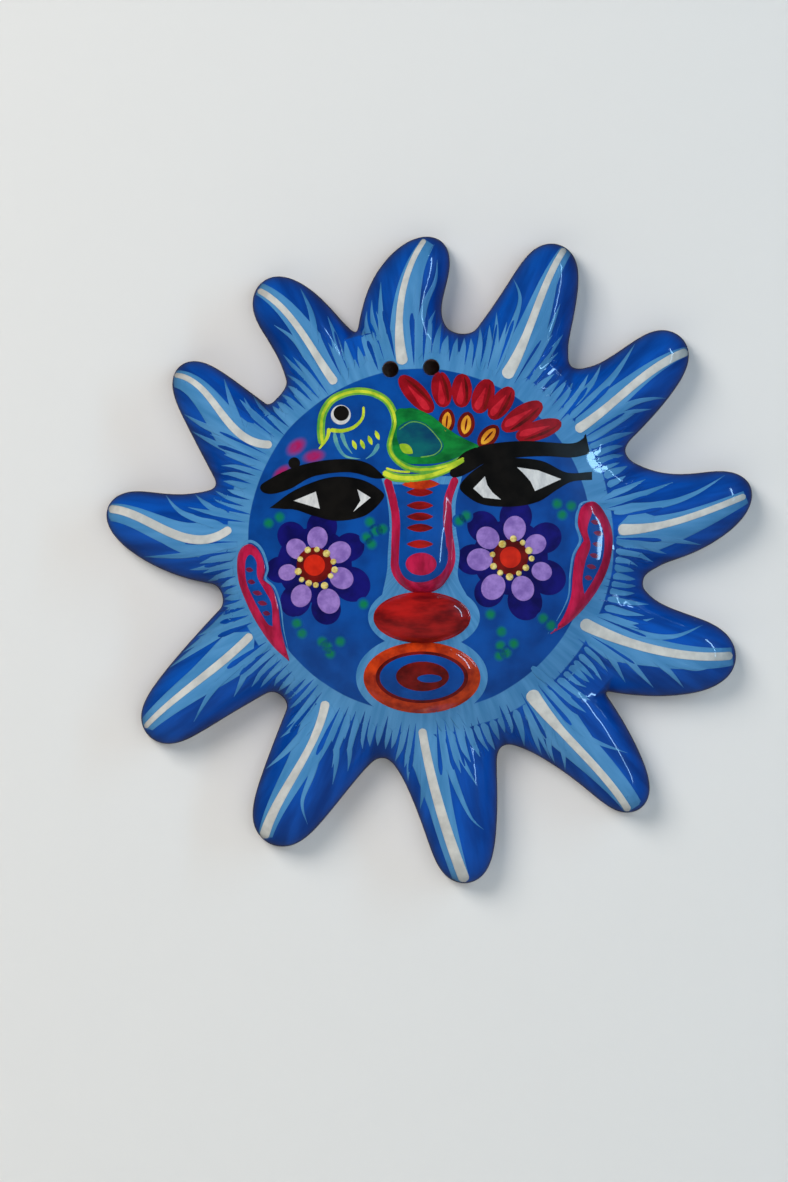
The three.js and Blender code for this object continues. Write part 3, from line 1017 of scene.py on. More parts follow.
def turned(corners, centre, tilt):
    """Corners round zero, turned clockwise by tilt degrees and moved to a pixel."""
    lean = math.radians(-tilt)
    turn = np.array([[math.cos(lean), math.sin(lean)], [-math.sin(lean), math.cos(lean)]])
    return corners @ turn + np.array(spot(*centre))


def dab(centre, half_wide, half_high=None, tilt=0.0):
    """An oval touch of the brush: its centre and half axes in pixels, turned clockwise by tilt degrees."""
    half_high = half_high or half_wide
    steps = max(DAB_STEPS, math.ceil(2 * math.pi * max(half_wide, half_high) * PIXEL / PATCH_EDGE))
    turns = np.linspace(0, 2 * math.pi, steps, endpoint=False)
    oval = np.stack([half_wide * np.cos(turns), half_high * np.sin(turns)], 1) * PIXEL
    return turned(oval, centre, tilt)


def leaf(centre, half_long, half_wide, tilt, bluntness=0.8):
    """A touch of a pointed brush: like a dab, but drawn out to a point at both ends."""
    steps = max(LEAF_STEPS, math.ceil(2 * half_long * PIXEL / PATCH_EDGE))
    along = np.linspace(-1, 1, steps)
    bulge = np.maximum(np.cos(along * math.pi / 2), 0) ** bluntness
    edge = np.concatenate([np.stack([along, bulge], 1), np.stack([-along, -bulge], 1)[1:-1]])
    return turned(edge * [half_long * PIXEL, half_wide * PIXEL], centre, tilt)


# %% Brows and eyes
LEFT_BROW = [(262, 487), (270, 481), (292, 470), (320, 463), (349, 461), (370, 466), (386, 480)]
LEFT_BROW += [(374, 480), (349, 474), (315, 478), (292, 490), (274, 495), (264, 493)]
RIGHT_BROW = [(449, 474), (455, 463), (466, 453), (489, 446), (521, 443), (545, 444), (569, 445), (580, 441)]
RIGHT_BROW += [(584, 435), (588, 455), (570, 459), (545, 458), (521, 459), (500, 462), (482, 466), (472, 472)]
RIGHT_BROW += [(460, 478), (452, 479)]
LEFT_EYE = [(271, 509), (297, 491), (331, 479), (361, 481), (382, 493), (382, 502), (365, 517), (338, 522)]
LEFT_EYE += [(315, 517), (297, 511), (284, 510)]
RIGHT_EYE = [(459, 487), (473, 472), (492, 462), (516, 460), (541, 463), (565, 474), (590, 473), (590, 481)]
RIGHT_EYE += [(570, 483), (555, 491), (536, 503), (511, 508), (482, 506), (465, 497)]
painted_shapes("brows", [shape(LEFT_BROW, (6,)), shape(RIGHT_BROW, (8, 9))], 3, "black")
painted_shapes("eyes", [shape(LEFT_EYE, (0,)), shape(RIGHT_EYE, (6, 7))], 1, "black")
EYE_WHITES = [
    [(295, 502), (317, 493), (321, 510)],
    [(358, 491), (371, 499), (354, 513), (361, 502)],
    [(472, 490), (483.5, 478), (486, 487), (491, 494), (499.5, 501), (482, 499)],
    [(515, 469), (536, 472), (559, 480.5), (533, 492.5), (528.5, 483), (521, 474.5)],
]
painted_shapes("eye_whites", [shape(w, range(len(w))) for w in EYE_WHITES], 2, "eye_white")

# %% Cheek flowers
LEFT_OUTER = [(323, 528, 15), (293.4, 537.4, 14), (281.4, 570, 13), (296.8, 600.4, 15), (327, 608.4, 14.5)]
LEFT_OUTER += [(352.4, 584.3, 17), (349.7, 548, 14)]
LEFT_INNER = [(318.6, 539, 10), (298, 549.5, 9.5), (289, 572.6, 8), (302.5, 595.7, 10), (329.6, 601, 11)]
LEFT_INNER += [(342.3, 578.3, 10.5), (340, 552.8, 10.5)]
LEFT_HEART = (315.5, 565.5)
RIGHT_OUTER = [(513.9, 518, 16), (481.8, 528, 15), (471.8, 560, 15), (487.9, 591.5, 14.5), (523, 601.4, 17)]
RIGHT_OUTER += [(545.3, 577.7, 17), (543, 538.7, 15)]
RIGHT_INNER = [(512.8, 529.5, 11), (486.4, 538.7, 10.5), (478.3, 560, 11), (491.7, 587, 11.5)]
RIGHT_INNER += [(520.8, 588.4, 11), (539.6, 571.6, 9), (533.4, 544.8, 9.5)]
RIGHT_HEART = (508.6, 557.8)
FLOWER_BACK = 37
OUTER_SPREAD = 1.1
INNER_SPREAD = 1.14
HEART_RING = 17.5
HEART_MIDDLE = 10.5


def petals(marks, heart, spread):
    """Petal ovals that point at the flower's heart."""
    loops = []
    for x, y, radius in marks:
        lean = math.degrees(math.atan2(y - heart[1], x - heart[0]))
        loops.append(dab((x, y), radius * spread, radius, lean))
    return loops


def flower(side, heart, outer, inner):
    painted_shapes(side + "_flower_back", [dab(heart, FLOWER_BACK)], 0, "navy")
    for number, loop in enumerate(petals(outer, heart, OUTER_SPREAD)):
        painted_shapes(f"{side}_flower_outer_{number + 1}", [loop], 0, "navy")
    painted_shapes(side + "_flower_inner", petals(inner, heart, INNER_SPREAD), 2, "lilac")
    painted_shapes(side + "_flower_ring", [dab(heart, HEART_RING)], 3, "dark_red")
    painted_shapes(side + "_flower_heart", [dab(heart, HEART_MIDDLE)], 4, "bright_red")


flower("left", LEFT_HEART, LEFT_OUTER, LEFT_INNER)
flower("right", RIGHT_HEART, RIGHT_OUTER, RIGHT_INNER)

# %% Nose and lips, inside their pale halo
NOSE_INSIDE = [(393, 486), (397, 503), (400, 523), (399, 553), (399, 566), (404, 577), (414, 582), (428, 581)]
NOSE_INSIDE += [(441, 573), (447, 560), (446, 545), (443, 526), (443, 503), (448, 486)]
NOSE_HALO = [(381, 478), (387, 500), (389.5, 525), (388, 553), (387, 572), (382, 596), (423, 606), (466, 596)]
NOSE_HALO += [(457, 577), (458.5, 553), (455, 528), (455, 503), (461, 478)]
UPPER_LIP_MIDDLE = (423.5, 616.6)
LOWER_LIP_MIDDLE = (421.5, 676)
halo = [shape(NOSE_HALO, (0, 5, 7, 12)), dab(UPPER_LIP_MIDDLE, 55, 33), dab(LOWER_LIP_MIDDLE, 65, 43)]
for number, loop in enumerate(halo):
    painted_shapes(f"feature_halo_{number + 1}", [loop], 0, "pale_blue", surface=coat_top)
painted_shapes("nose_inside", [shape(NOSE_INSIDE, (0, 13))], 0, "face_blue", "nose_glaze")
STRIPE_HEIGHTS = (494, 507, 518, 529, 545)
stripes = [leaf((419.5, y), 13, 4, 0) for y in STRIPE_HEIGHTS]
painted_shapes("nose_stripes", stripes, 1, "crimson", "nose_glaze")
painted_shapes("nose_top_stripe", [leaf((420, 486), 18, 5, 0)], 1, "orange_red", "nose_glaze")
painted_shapes("nose_tip", [dab((420.6, 564.5), 15, 11)], 1, "magenta", "nose_glaze")
painted_shapes("lower_lip_band_edge", [dab(LOWER_LIP_MIDDLE, 45.5, 25.5)], 0, "dark_red", "lip_orange")
painted_shapes("lower_lip_band", [dab(LOWER_LIP_MIDDLE, 41.5, 22.5)], 1, "face_blue", "lip_orange")
painted_shapes("lower_lip_middle", [dab((422, 675), 26, 14.5)], 2, "dark_red", "lip_orange")
painted_shapes("lower_lip_lens", [dab((429, 677), 12, 4)], 3, "face_blue", "lip_orange")

# %% Ears
LEFT_EAR_INSIDE = [(247, 562), (252, 555), (258, 562), (259, 577), (266, 590), (273, 604), (274, 626)]
LEFT_EAR_INSIDE += [(268, 622), (256, 601), (248, 582)]
RIGHT_EAR_INSIDE = [(590, 513), (598, 524), (602, 540), (600, 560), (592, 578), (582, 594), (580, 580)]
RIGHT_EAR_INSIDE += [(583, 562), (588, 546), (585, 530)]
LEFT_EAR_DABS = [(251, 570, 4), (253, 582, 4), (259, 593, 5), (264, 603, 5), (268, 613, 4)]
RIGHT_EAR_DABS = [(593, 523, 5), (596, 534, 5), (595, 545, 5), (592, 556, 5), (589, 567, 5), (586, 578, 4)]
painted_shapes("ear_left_inside", [shape(LEFT_EAR_INSIDE, (6,))], 0, "face_blue", "ear_glaze")
painted_shapes("ear_right_inside", [shape(RIGHT_EAR_INSIDE, (0, 5))], 0, "face_blue", "ear_glaze")
EAR_DAB_HALF = 2.4
EAR_DAB_TILT = 12
EAR_DABS = LEFT_EAR_DABS + RIGHT_EAR_DABS
ear_dabs = [leaf((x, y), half, EAR_DAB_HALF, EAR_DAB_TILT) for x, y, half in EAR_DABS]
painted_shapes("ear_dabs", ear_dabs, 1, "maroon", "ear_glaze")

# %% Petals, seeds and the bird's wing on the brow
RED_PETALS = [((416, 396.5), 24, 10, 48), ((441, 392), 18, 10, 82), ((461, 393), 17, 10, 92)]
RED_PETALS += [((482, 398.5), 18, 10.5, 110), ((500, 405.5), 19, 10, 124), ((520.5, 418.5), 24, 10.5, 146)]
RED_PETALS += [((537, 432), 24, 9.5, 161)]
LIT_PART = [(-0.5, 0.05), (0.0, 0.3), (0.62, 0.5), (0.84, 0.05), (0.5, -0.2), (0.0, -0.08)]
SHADED_PART = [(-0.8, -0.2), (-0.2, -0.6), (0.5, -0.62), (0.7, -0.42), (0.0, -0.34)]


def within(mark, part):
    """A small shape inside a petal, given in shares of the petal's half length and half width."""
    centre, half_long, half_wide, tilt = mark
    corners = np.array(part) * [half_long * PIXEL, -half_wide * PIXEL]
    return smooth_line(turned(corners, centre, tilt), PATCH_EDGE, True)


PETAL_BLUNTNESS = 0.42
petal_leaves = [leaf(*mark, PETAL_BLUNTNESS) for mark in RED_PETALS]
painted_shapes("red_petals", petal_leaves, 1, "petal_dark")
painted_shapes("red_petal_lights", [within(mark, LIT_PART) for mark in RED_PETALS], 2, "petal_red")
painted_shapes("red_petal_shades", [within(mark, SHADED_PART) for mark in RED_PETALS], 2, "dark_red")
SEED_BEDS = [((446, 424), 13, 8, 96), ((465, 427), 13, 8.5, 100), ((487, 438.5), 14, 8.5, 132)]
# Each is the bed narrowed by two shares, along and across, and blunted
SEED_LEAVES = {
    "seed_beds": (1, 1, 0.5, 1, "dark_red"),
    "seeds": (0.74, 0.58, 0.6, 2, "seed_orange"),
    "seed_splits": (0.5, 0.12, 0.6, 3, "dark_red"),
}
for name, (along, across, bluntness, layer, glaze) in SEED_LEAVES.items():
    seed_leaves = [leaf(c, a * along, b * across, t, bluntness) for c, a, b, t in SEED_BEDS]
    painted_shapes(name, seed_leaves, layer, glaze)
BIRD_HEAD = [(325, 440), (324, 420), (332, 405), (345, 397), (360, 395), (376, 399), (388, 409), (392, 424)]
BIRD_HEAD += [(389, 445), (394, 460), (404, 468), (383, 473), (356, 464), (338, 462)]
BIRD_WING = [(395, 415), (411, 412), (429, 419), (443, 430), (457, 439), (479, 449), (464, 456), (443, 464)]
BIRD_WING += [(421, 466), (404, 464), (393, 451)]
WING_INSIDE = [(398, 430), (411, 423), (425, 426), (436, 437), (443, 448), (436, 457), (421, 459), (407, 457)]
WING_INSIDE += [(398, 444)]
painted_shapes("bird_head", [shape(BIRD_HEAD)], 0, "face_blue")
painted_shapes("bird_wing", [shape(BIRD_WING, (5,))], 1, "leaf_green")
painted_shapes("bird_wing_inside", [shape(WING_INSIDE)], 2, "teal")
painted_shapes("bird_leaf", [leaf((406, 451), 8, 4.5, 35)], 3, "yellow_green")
painted_shapes("bird_eye_ring", [dab((341.5, 417), 9.8)], 1, "eye_white")
painted_shapes("bird_eye", [dab((342, 415.5), 7.6)], 2, "black")
THROAT_LEAVES = [(355, 447), (363, 446.5), (370.5, 442.5), (377.5, 437.5)]
painted_shapes("throat_leaves", [leaf(c, 5.2, 2.1, 68) for c in THROAT_LEAVES], 1, "yellow_green")

# %% Thin washes: the pink flower and the green dots
DOT_RADIUS = 7
DOTS = [(281, 518), (270, 524), (370, 523), (376, 532), (367, 538), (383, 530), (372, 545), (364, 604)]
DOTS += [(298, 623), (303, 633), (323, 641), (341, 641), (331, 653), (328, 646), (465, 517), (458, 522)]
DOTS += [(555, 505), (569, 507), (560, 516), (489, 614), (541, 618), (499, 645), (512, 643), (498, 655)]
DOTS += [(505, 652), (549, 625), (500, 631)]
WASH_PITCH = 0.8
WASH_APART = TIE_BREAK * 0.5


def washes(name, marks, layer, glaze):
    """One piece of soft ovals: each mark has a centre, two half axes in pixels and a tilt."""
    lift = lift_of(layer)
    skins = []
    thickness = []
    for number, (centre, half_wide, half_high, tilt) in enumerate(marks):
        apart = WASH_APART * number / len(marks)
        oval = dab(centre, half_wide, half_high, tilt)
        skins.append(skin_of(oval, lift + apart, WASH_PITCH, front_height))
        aside = skins[-1][0][:, [0, 2]] / MM - [DISH_X, DISH_Z] - spot(*centre)
        lean = math.radians(tilt)
        along = aside[:, 0] * math.cos(lean) - aside[:, 1] * math.sin(lean)
        across = aside[:, 0] * math.sin(lean) + aside[:, 1] * math.cos(lean)
        far = np.hypot(along / half_wide, across / half_high) / PIXEL
        thickness.append(np.clip(1 - far, 0, 1))
    piece = new_piece(name, *joined(skins))
    values = np.concatenate(thickness)
    piece.data.attributes.new("thickness", "FLOAT", "POINT").data.foreach_set("value", values)
    finish_skin(piece, glaze)


PINK_PETALS = [((297.5, 448.5), 14, 9, -38), ((315, 458), 14, 8, -12), ((283, 474), 13, 7, -38)]
washes("pink_petals", PINK_PETALS, 0, "wash_pink")
washes("green_dots", [(c, DOT_RADIUS, DOT_RADIUS, 0) for c in DOTS], 0, "wash_green")
painted_shapes("brow_dot", [dab((295.5, 464.7), 5.8)], 1, "black")

# %% [markdown]
# ## Brush strokes by Geometry Nodes
#
# A pointed brush leaves a ridge of paint that is wide where it is pressed and ends in a hair. One node
# tree makes them all: each stroke is a line with a width at every point, drawn flat, swept with a round
# profile and then cast onto the plaque. The lower half of the sweep is pushed under the surface, so
# that every stroke stays a closed body. The canvas it is cast on is a copy of the coat and the pads.

# %% The canvas and the stroke tree
CAST_FROM = -0.3
CAST_LENGTH = 0.4
BASE_SHARE = 0.6
RIDGE_SHARE = 0.4


def mesh_of(piece):
    corners = np.array([tuple(v.co) for v in piece.data.vertices])
    return corners, [tuple(p.vertices) for p in piece.data.polygons]


canvas = new_piece("canvas", *joined(mesh_of(piece) for piece in [coat, *pads]))


def new_tree(name, inputs):
    """An empty node tree with a geometry input, further named inputs and a geometry output."""
    tree = bpy.data.node_groups.new(name, "GeometryNodeTree")
    tree.interface.new_socket("Geometry", in_out="INPUT", socket_type="NodeSocketGeometry")
    for title, kind in inputs:
        tree.interface.new_socket(title, in_out="INPUT", socket_type=kind)
    tree.interface.new_socket("Geometry", in_out="OUTPUT", socket_type="NodeSocketGeometry")
    return tree, add(tree, "NodeGroupInput").outputs, add(tree, "NodeGroupOutput")


def cast_on(tree, canvas_socket, x, z):
    """Where a line into the wall at x and z meets the canvas, and the canvas's direction there."""
    aim = out(tree, "ShaderNodeCombineXYZ", {0: x, 1: CAST_FROM, 2: z})
    target = add(tree, "GeometryNodeObjectInfo", {"transform_space": "ORIGINAL"}, {0: canvas_socket})
    sockets = {
        "Target Geometry": target.outputs["Geometry"],
        "Source Position": aim,
        "Ray Direction": (0, 1, 0),
        "Ray Length": CAST_LENGTH,
    }
    hit = add(tree, "GeometryNodeRaycast", None, sockets).outputs
    return hit["Hit Position"], hit["Hit Normal"]


def painted_result(tree, geometry, paint, output):
    """Ends a tree: its geometry as plain mesh, smooth and in its paint."""
    real = out(tree, "GeometryNodeRealizeInstances", {0: geometry})
    soft = out(tree, "GeometryNodeSetShadeSmooth", {"Geometry": real, "Shade Smooth": True})
    done = out(tree, "GeometryNodeSetMaterial", {"Geometry": soft, "Material": paint})
    tree.links.new(done, output.inputs[0])


def make_stroke_tree():
    inputs = [("Canvas", "NodeSocketObject"), ("Thickness", "NodeSocketFloat"), ("Sunk", "NodeSocketFloat")]
    inputs += [("Sides", "NodeSocketInt"), ("Paint", "NodeSocketMaterial")]
    tree, given, output = new_tree("brush_strokes", inputs)
    width = add(tree, "GeometryNodeInputNamedAttribute", {"data_type": "FLOAT"}, {"Name": "half_width"})
    half_width = Wire(tree, width.outputs[0])
    line = out(tree, "GeometryNodeMeshToCurve", {0: given["Geometry"]})
    flat = out(tree, "GeometryNodeSetCurveNormal", {0: line}, {"mode": "Z_UP"})
    ring = add(tree, "GeometryNodeCurvePrimitiveCircle", None, {"Resolution": given["Sides"], "Radius": 1.0})
    sockets = {"Curve": flat, "Profile Curve": ring.outputs[0], "Scale": half_width, "Fill Caps": True}
    swept = out(tree, "GeometryNodeCurveToMesh", sockets)
    place = out(tree, "GeometryNodeInputPosition")
    split = add(tree, "ShaderNodeSeparateXYZ", None, {0: place}).outputs
    thick = Wire(tree, given["Thickness"])
    share = Wire(tree, split[2]) / half_width
    above = share.combined("MAXIMUM", share, 0.0)
    below = share.combined("MINIMUM", share, 0.0)
    into_clay = below * (thick * BASE_SHARE + Wire(tree, given["Sunk"]))
    lift = thick * BASE_SHARE + above * thick * RIDGE_SHARE + into_clay
    hit, normal = cast_on(tree, given["Canvas"], Wire(tree, split[0]), Wire(tree, split[1]))
    push = out(tree, "ShaderNodeVectorMath", {0: normal, "Scale": lift}, {"operation": "SCALE"})
    spot_on = out(tree, "ShaderNodeVectorMath", {0: hit, 1: push}, {"operation": "ADD"})
    laid = out(tree, "GeometryNodeSetPosition", {"Geometry": swept, "Position": spot_on})
    painted_result(tree, laid, given["Paint"], output)
    return tree


def grown(name, host_mesh, tree, values):
    """The piece that a node tree makes from a host mesh, as plain mesh."""
    host = bpy.data.objects.new(name + "_host", host_mesh)
    bpy.context.scene.collection.objects.link(host)
    modifier = host.modifiers.new("grow", "NODES")
    modifier.node_group = tree
    for item in tree.interface.items_tree:
        if item.in_out == "INPUT" and item.name in values:
            modifier[item.identifier] = values[item.name]
    depsgraph = bpy.context.evaluated_depsgraph_get()
    mesh = bpy.data.meshes.new_from_object(host.evaluated_get(depsgraph))
    host.modifiers.remove(modifier)
    bpy.data.objects.remove(host)
    mesh.name = name
    piece = bpy.data.objects.new(name, mesh)
    bpy.context.scene.collection.objects.link(piece)
    return piece


stroke_tree = make_stroke_tree()

# %% One stroke as a line of points with widths
STROKE_STEP = 1.0
FINE_STEP = 0.5
THINNEST = 0.09
EDGE_MARGIN = 0.045
EAR_MARGIN = 1.5
PRESSED_IN = 0.18
FIRST_TOUCH = 0.1
KEPT = 1.6
HAIR = 0.9
FEWEST_STEPS = 6
NARROWINGS = 12
NARROWED = 0.75
SIDE_MARGIN = 0.03
HOLE_MARGIN = 0.5


def run_along(points):
    """Each point's distance from the start of its line."""
    return np.concatenate([[0], np.cumsum(np.linalg.norm(np.diff(points, axis=0), axis=1))])


def right_of(line):
    """The direction to the right of a line at each of its points."""
    along = np.gradient(line, axis=0)
    along /= np.linalg.norm(along, axis=1)[:, None]
    return np.stack([along[:, 1], -along[:, 0]], 1)


def round_ended(full, run):
    """Half widths that close in a round at both ends."""
    from_end = np.minimum(run, run[-1] - run) / full
    return np.maximum(full * np.sqrt(1 - (1 - np.minimum(from_end, 1)) ** 2), THINNEST)


def evenly(points, step=STROKE_STEP):
    """A line as even steps, and each point's distance from the start."""
    run = run_along(points)
    count = max(FEWEST_STEPS, math.ceil(run[-1] / step))
    stations = np.linspace(0, run[-1], count)
    line = np.stack([np.interp(stations, run, points[:, i]) for i in (0, 1)], 1)
    return line, stations


def over_a_hole(points):
    from_hole = np.min([np.linalg.norm(points - centre, axis=1) for centre in hole_centres], axis=0)
    return from_hole < HOLE_DIAMETER / 2 + HOLE_MARGIN


def off_the_coat(points, margin):
    """Which points lie beyond the sun's outline or over a hanging hole."""
    return (coat_depth(points) < margin) | over_a_hole(points)


def on_the_sun(points):
    """The first part of a line that lies inside the outline, short of its steep edge."""
    outside = np.flatnonzero(off_the_coat(points, EDGE_MARGIN))
    return points[: outside[0]] if len(outside) else points


def free_run(points):
    """The last part of a line that runs free of both ears and of the holes."""
    nearest = np.maximum(inside_distance(points, left_ear_loop), inside_distance(points, right_ear_loop))
    covered = np.flatnonzero((nearest > -EAR_MARGIN) | over_a_hole(points))
    return points[covered[-1] + 1 :] if len(covered) else points


def pointed(points, half_width):
    """A stroke that is pressed in at its start, keeps its width and leaves in a hair."""
    line, run = evenly(on_the_sun(points))
    share = run / run[-1]
    pressed = np.minimum(1, (share / PRESSED_IN + FIRST_TOUCH) ** 0.5)
    widths = half_width * pressed * (1 - share**KEPT) ** HAIR
    return line, np.maximum(widths, THINNEST)


def blunt(points, half_width, end_half=None, step=STROKE_STEP):
    """A stroke with round ends, whose width runs evenly from its start to its end."""
    line, run = evenly(on_the_sun(points), step)
    full = half_width + ((end_half or half_width) - half_width) * run / run[-1]
    return line, round_ended(full, run)


def drawn_in(line, widths):
    """The widths of a stroke, narrowed where one of its sides would pass the sun's outline."""
    aside = right_of(line)
    widths = np.array(widths)
    for _ in range(NARROWINGS):
        sides = np.concatenate([line + aside * widths[:, None], line - aside * widths[:, None]])
        over = off_the_coat(sides, SIDE_MARGIN).reshape(2, -1).any(0)
        if not over.any():
            break
        widths[over] *= NARROWED
    return widths


def strokes(name, lines, glaze, thickness, sides=10):
    """One piece of brush strokes in one colour."""
    corners = []
    edges = []
    widths = []
    for line, line_widths in lines:
        first = len(corners)
        corners += [((x + DISH_X) * MM, (z + DISH_Z) * MM, 0) for x, z in line]
        widths += [w * MM for w in drawn_in(line, line_widths)]
        edges += [(i, i + 1) for i in range(first, len(corners) - 1)]
    host = bpy.data.meshes.new(name + "_lines")
    host.from_pydata(corners, edges, [])
    host.attributes.new("half_width", "FLOAT", "POINT").data.foreach_set("value", widths)
    values = {"Canvas": canvas, "Thickness": thickness * MM, "Sunk": SUNK * MM}
    piece = grown(name, host, stroke_tree, values | {"Sides": sides, "Paint": GLAZES[glaze]})
    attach(piece, "root")
    print(name, "has", len(lines), "strokes and", len(piece.data.polygons), "faces")


# %% [markdown]
# ## The rays' pattern
#
# On each ray the painter first pulled a broad pale band from the collar to the tip, then flicked
# pointed strokes off both sides like the barbs of a feather, and last laid one white stroke on the
# ridge. The long strokes differ from ray to ray and were measured. The short ones that fill the
# valleys follow one rule, with a fixed seed for the unevenness of the hand.

# %% Measured strokes of the rays
WHITE_STROKES = [
    [(425, 241), (411, 266), (402, 300), (399, 335), (403, 367)],
    [(565, 249), (548, 278), (536, 312), (521, 346), (504, 380)],
    [(687, 352), (662, 365), (630, 387), (606, 409), (574, 432)],
    [(744, 496), (715, 508), (679, 520), (642, 529), (616, 530)],
    [(732, 654), (713, 658), (679, 654), (642, 644), (606, 637), (579, 621)],
    [(628, 810), (609, 784), (587, 757), (562, 733), (542, 708), (528, 690)],
    [(466, 883), (455, 853), (443, 819), (434, 782), (425, 750), (422, 727)],
    [(265, 840), (267, 819), (285, 794), (299, 769), (315, 732), (327, 700)],
    [(145, 728), (166, 707), (193, 686), (228, 657), (253, 634)],
    [(108, 510), (129, 511), (154, 526), (182, 537), (209, 539), (232, 529)],
    [(175, 376), (198, 385), (219, 411), (237, 431), (255, 443), (273, 446)],
    [(256, 290), (281, 307), (301, 335), (320, 360), (336, 386)],
]
LONG_STROKES = [
    [(385, 356), (381, 318), (381, 284)],
    [(380, 350), (373, 322), (372, 302)],
    [(374, 352), (367, 330), (367, 313)],
    [(370, 352), (364, 340), (365, 328)],
    [(412, 345), (417, 300), (423, 270), (434, 246)],
    [(418, 345), (424, 310), (435, 283), (437, 262)],
    [(420, 350), (428, 328), (435, 312)],
    [(497, 366), (507, 340), (519, 303), (513, 280)],
    [(492, 360), (495, 340), (496, 314)],
    [(480, 360), (480, 345), (479, 334)],
    [(538, 345), (548, 310), (559, 266)],
    [(534, 360), (545, 340), (559, 306)],
    [(540, 366), (552, 350), (562, 336)],
    [(584, 406), (610, 380), (634, 345)],
    [(576, 400), (590, 385), (600, 366)],
    [(604, 420), (628, 406), (650, 400), (666, 399)],
    [(600, 430), (622, 416), (650, 410)],
    [(612, 508), (655, 506), (691, 495), (723, 476)],
    [(608, 506), (640, 495), (671, 483)],
    [(605, 500), (628, 488), (644, 480)],
    [(640, 536), (668, 540), (700, 545)],
    [(632, 538), (648, 548), (665, 554)],
    [(625, 545), (640, 556), (652, 562)],
    [(610, 624), (640, 634), (672, 636), (701, 625)],
    [(606, 618), (630, 622), (652, 618)],
    [(650, 656), (668, 672), (682, 687)],
    [(618, 650), (636, 670), (652, 687)],
    [(602, 645), (614, 665), (624, 682)],
    [(665, 660), (690, 668), (706, 668)],
    [(545, 690), (562, 714), (590, 738), (626, 752)],
    [(540, 674), (560, 690), (582, 698)],
    [(556, 728), (562, 752), (565, 774)],
    [(530, 715), (534, 735), (541, 754)],
    [(548, 724), (548, 744), (554, 762)],
    [(441, 740), (455, 782), (470, 815), (483, 828)],
    [(441, 722), (458, 752), (476, 784)],
    [(456, 718), (470, 738), (484, 756)],
    [(424, 765), (423, 788), (420, 808)],
    [(414, 745), (409, 765), (408, 780)],
    [(306, 730), (285, 752), (263, 771)],
    [(308, 708), (296, 724), (281, 737)],
    [(323, 730), (314, 768), (303, 800), (308, 823)],
    [(335, 728), (337, 756), (333, 783)],
    [(347, 728), (350, 750), (348, 770)],
    [(222, 632), (195, 650), (168, 669)],
    [(226, 624), (205, 638), (184, 652)],
    [(228, 614), (212, 628), (198, 636)],
    [(240, 664), (216, 687), (195, 721)],
    [(250, 664), (243, 680), (235, 696)],
    [(215, 524), (185, 514), (166, 495)],
    [(220, 512), (208, 505), (196, 495)],
    [(225, 546), (190, 555), (145, 557)],
    [(232, 556), (212, 566), (191, 570)],
    [(238, 566), (222, 576), (205, 582)],
    [(240, 575), (230, 583), (218, 588)],
    [(240, 425), (232, 402), (225, 380)],
    [(266, 436), (255, 418), (245, 399)],
    [(230, 436), (208, 428), (185, 415)],
    [(240, 455), (215, 444), (191, 431)],
    [(315, 350), (313, 320), (301, 290)],
    [(344, 370), (338, 345), (328, 318)],
    [(315, 372), (298, 345), (275, 327)],
    [(312, 388), (296, 370), (284, 356)],
]
BROAD_FEATHER = 2.6
HIDDEN_START = 7

# Full widths of each white stroke in pixels: at the collar, a third of the way out, and at the tip
WHITE_WIDTHS = [(12, 7, 5), (13, 8, 6), (10, 8, 8), (12, 7, 6), (13, 9, 8), (15, 8, 7)]
WHITE_WIDTHS += [(8, 9, 11), (9, 7, 10), (8, 8, 5), (8, 9, 8), (8, 8, 5), (9, 7, 6)]

# Reach of each pale band to the left and right of the white stroke, in pixels as one looks outward:
# halfway out, and at the tip
BAND_REACH = [(7, 14, 3, 10), (10, 12, 4, 8), (11, 8, 5, 4), (8, 18, 5, 8), (11, 17, 8, 10)]
BAND_REACH += [(18, 14, 15, 4), (13, 11, 5, 11), (12, 13, 8, 6), (16, 13, 7, 8), (13, 13, 12, 5)]
BAND_REACH += [(18, 11, 12, 5), (9, 13, 5, 8)]
BAND_STATIONS = (0, 0.12, 0.25, 0.5, 1)
WHITE_STATIONS = (0, 0.33, 1)
BAND_START = 4
BAND_ROOT = 19
BAND_SHOULDER = 1.35


def fair_line(pixels):
    """One long pull of the brush: the cubic curve that passes nearest to the measured points."""
    marks = spots(pixels)[::-1]
    run = run_along(marks)
    stations = np.arange(0, run[-1], FINE_STEP)
    fits = [np.polyval(np.polyfit(run, marks[:, i], 3), stations) for i in (0, 1)]
    return evenly(on_the_sun(np.stack(fits, 1)), FINE_STEP)


def band(pixels, reach):
    """The pale band that lies under a white stroke, broad at the collar and narrow at the tip."""
    line, run = fair_line(pixels)
    half_left, half_right, tip_left, tip_right = reach
    share = run / run[-1]
    left_marks = (BAND_START, BAND_ROOT, half_left * BAND_SHOULDER, half_left, tip_left)
    right_marks = (BAND_START, BAND_ROOT, half_right * BAND_SHOULDER, half_right, tip_right)
    left = np.interp(share, BAND_STATIONS, left_marks) * PIXEL
    right = np.interp(share, BAND_STATIONS, right_marks) * PIXEL
    middle = on_the_sun(line + right_of(line) * ((right - left) / 2)[:, None])
    return middle, ((left + right) / 2)[: len(middle)]


def white_stroke(pixels, widths):
    """A white stroke with round ends, whose width was measured at three places."""
    line, run = fair_line(pixels)
    full = np.interp(run / run[-1], WHITE_STATIONS, widths) * PIXEL / 2
    return line, round_ended(full, run)


def long_feather(pixels):
    """A measured stroke, begun a little further in, where the pale band hides its start."""
    marks = spots(pixels)
    back = marks[0] - marks[1]
    marks[0] = marks[0] + back / np.linalg.norm(back) * HIDDEN_START
    return pointed(free_run(smooth_line(marks, STROKE_STEP)), BROAD_FEATHER)


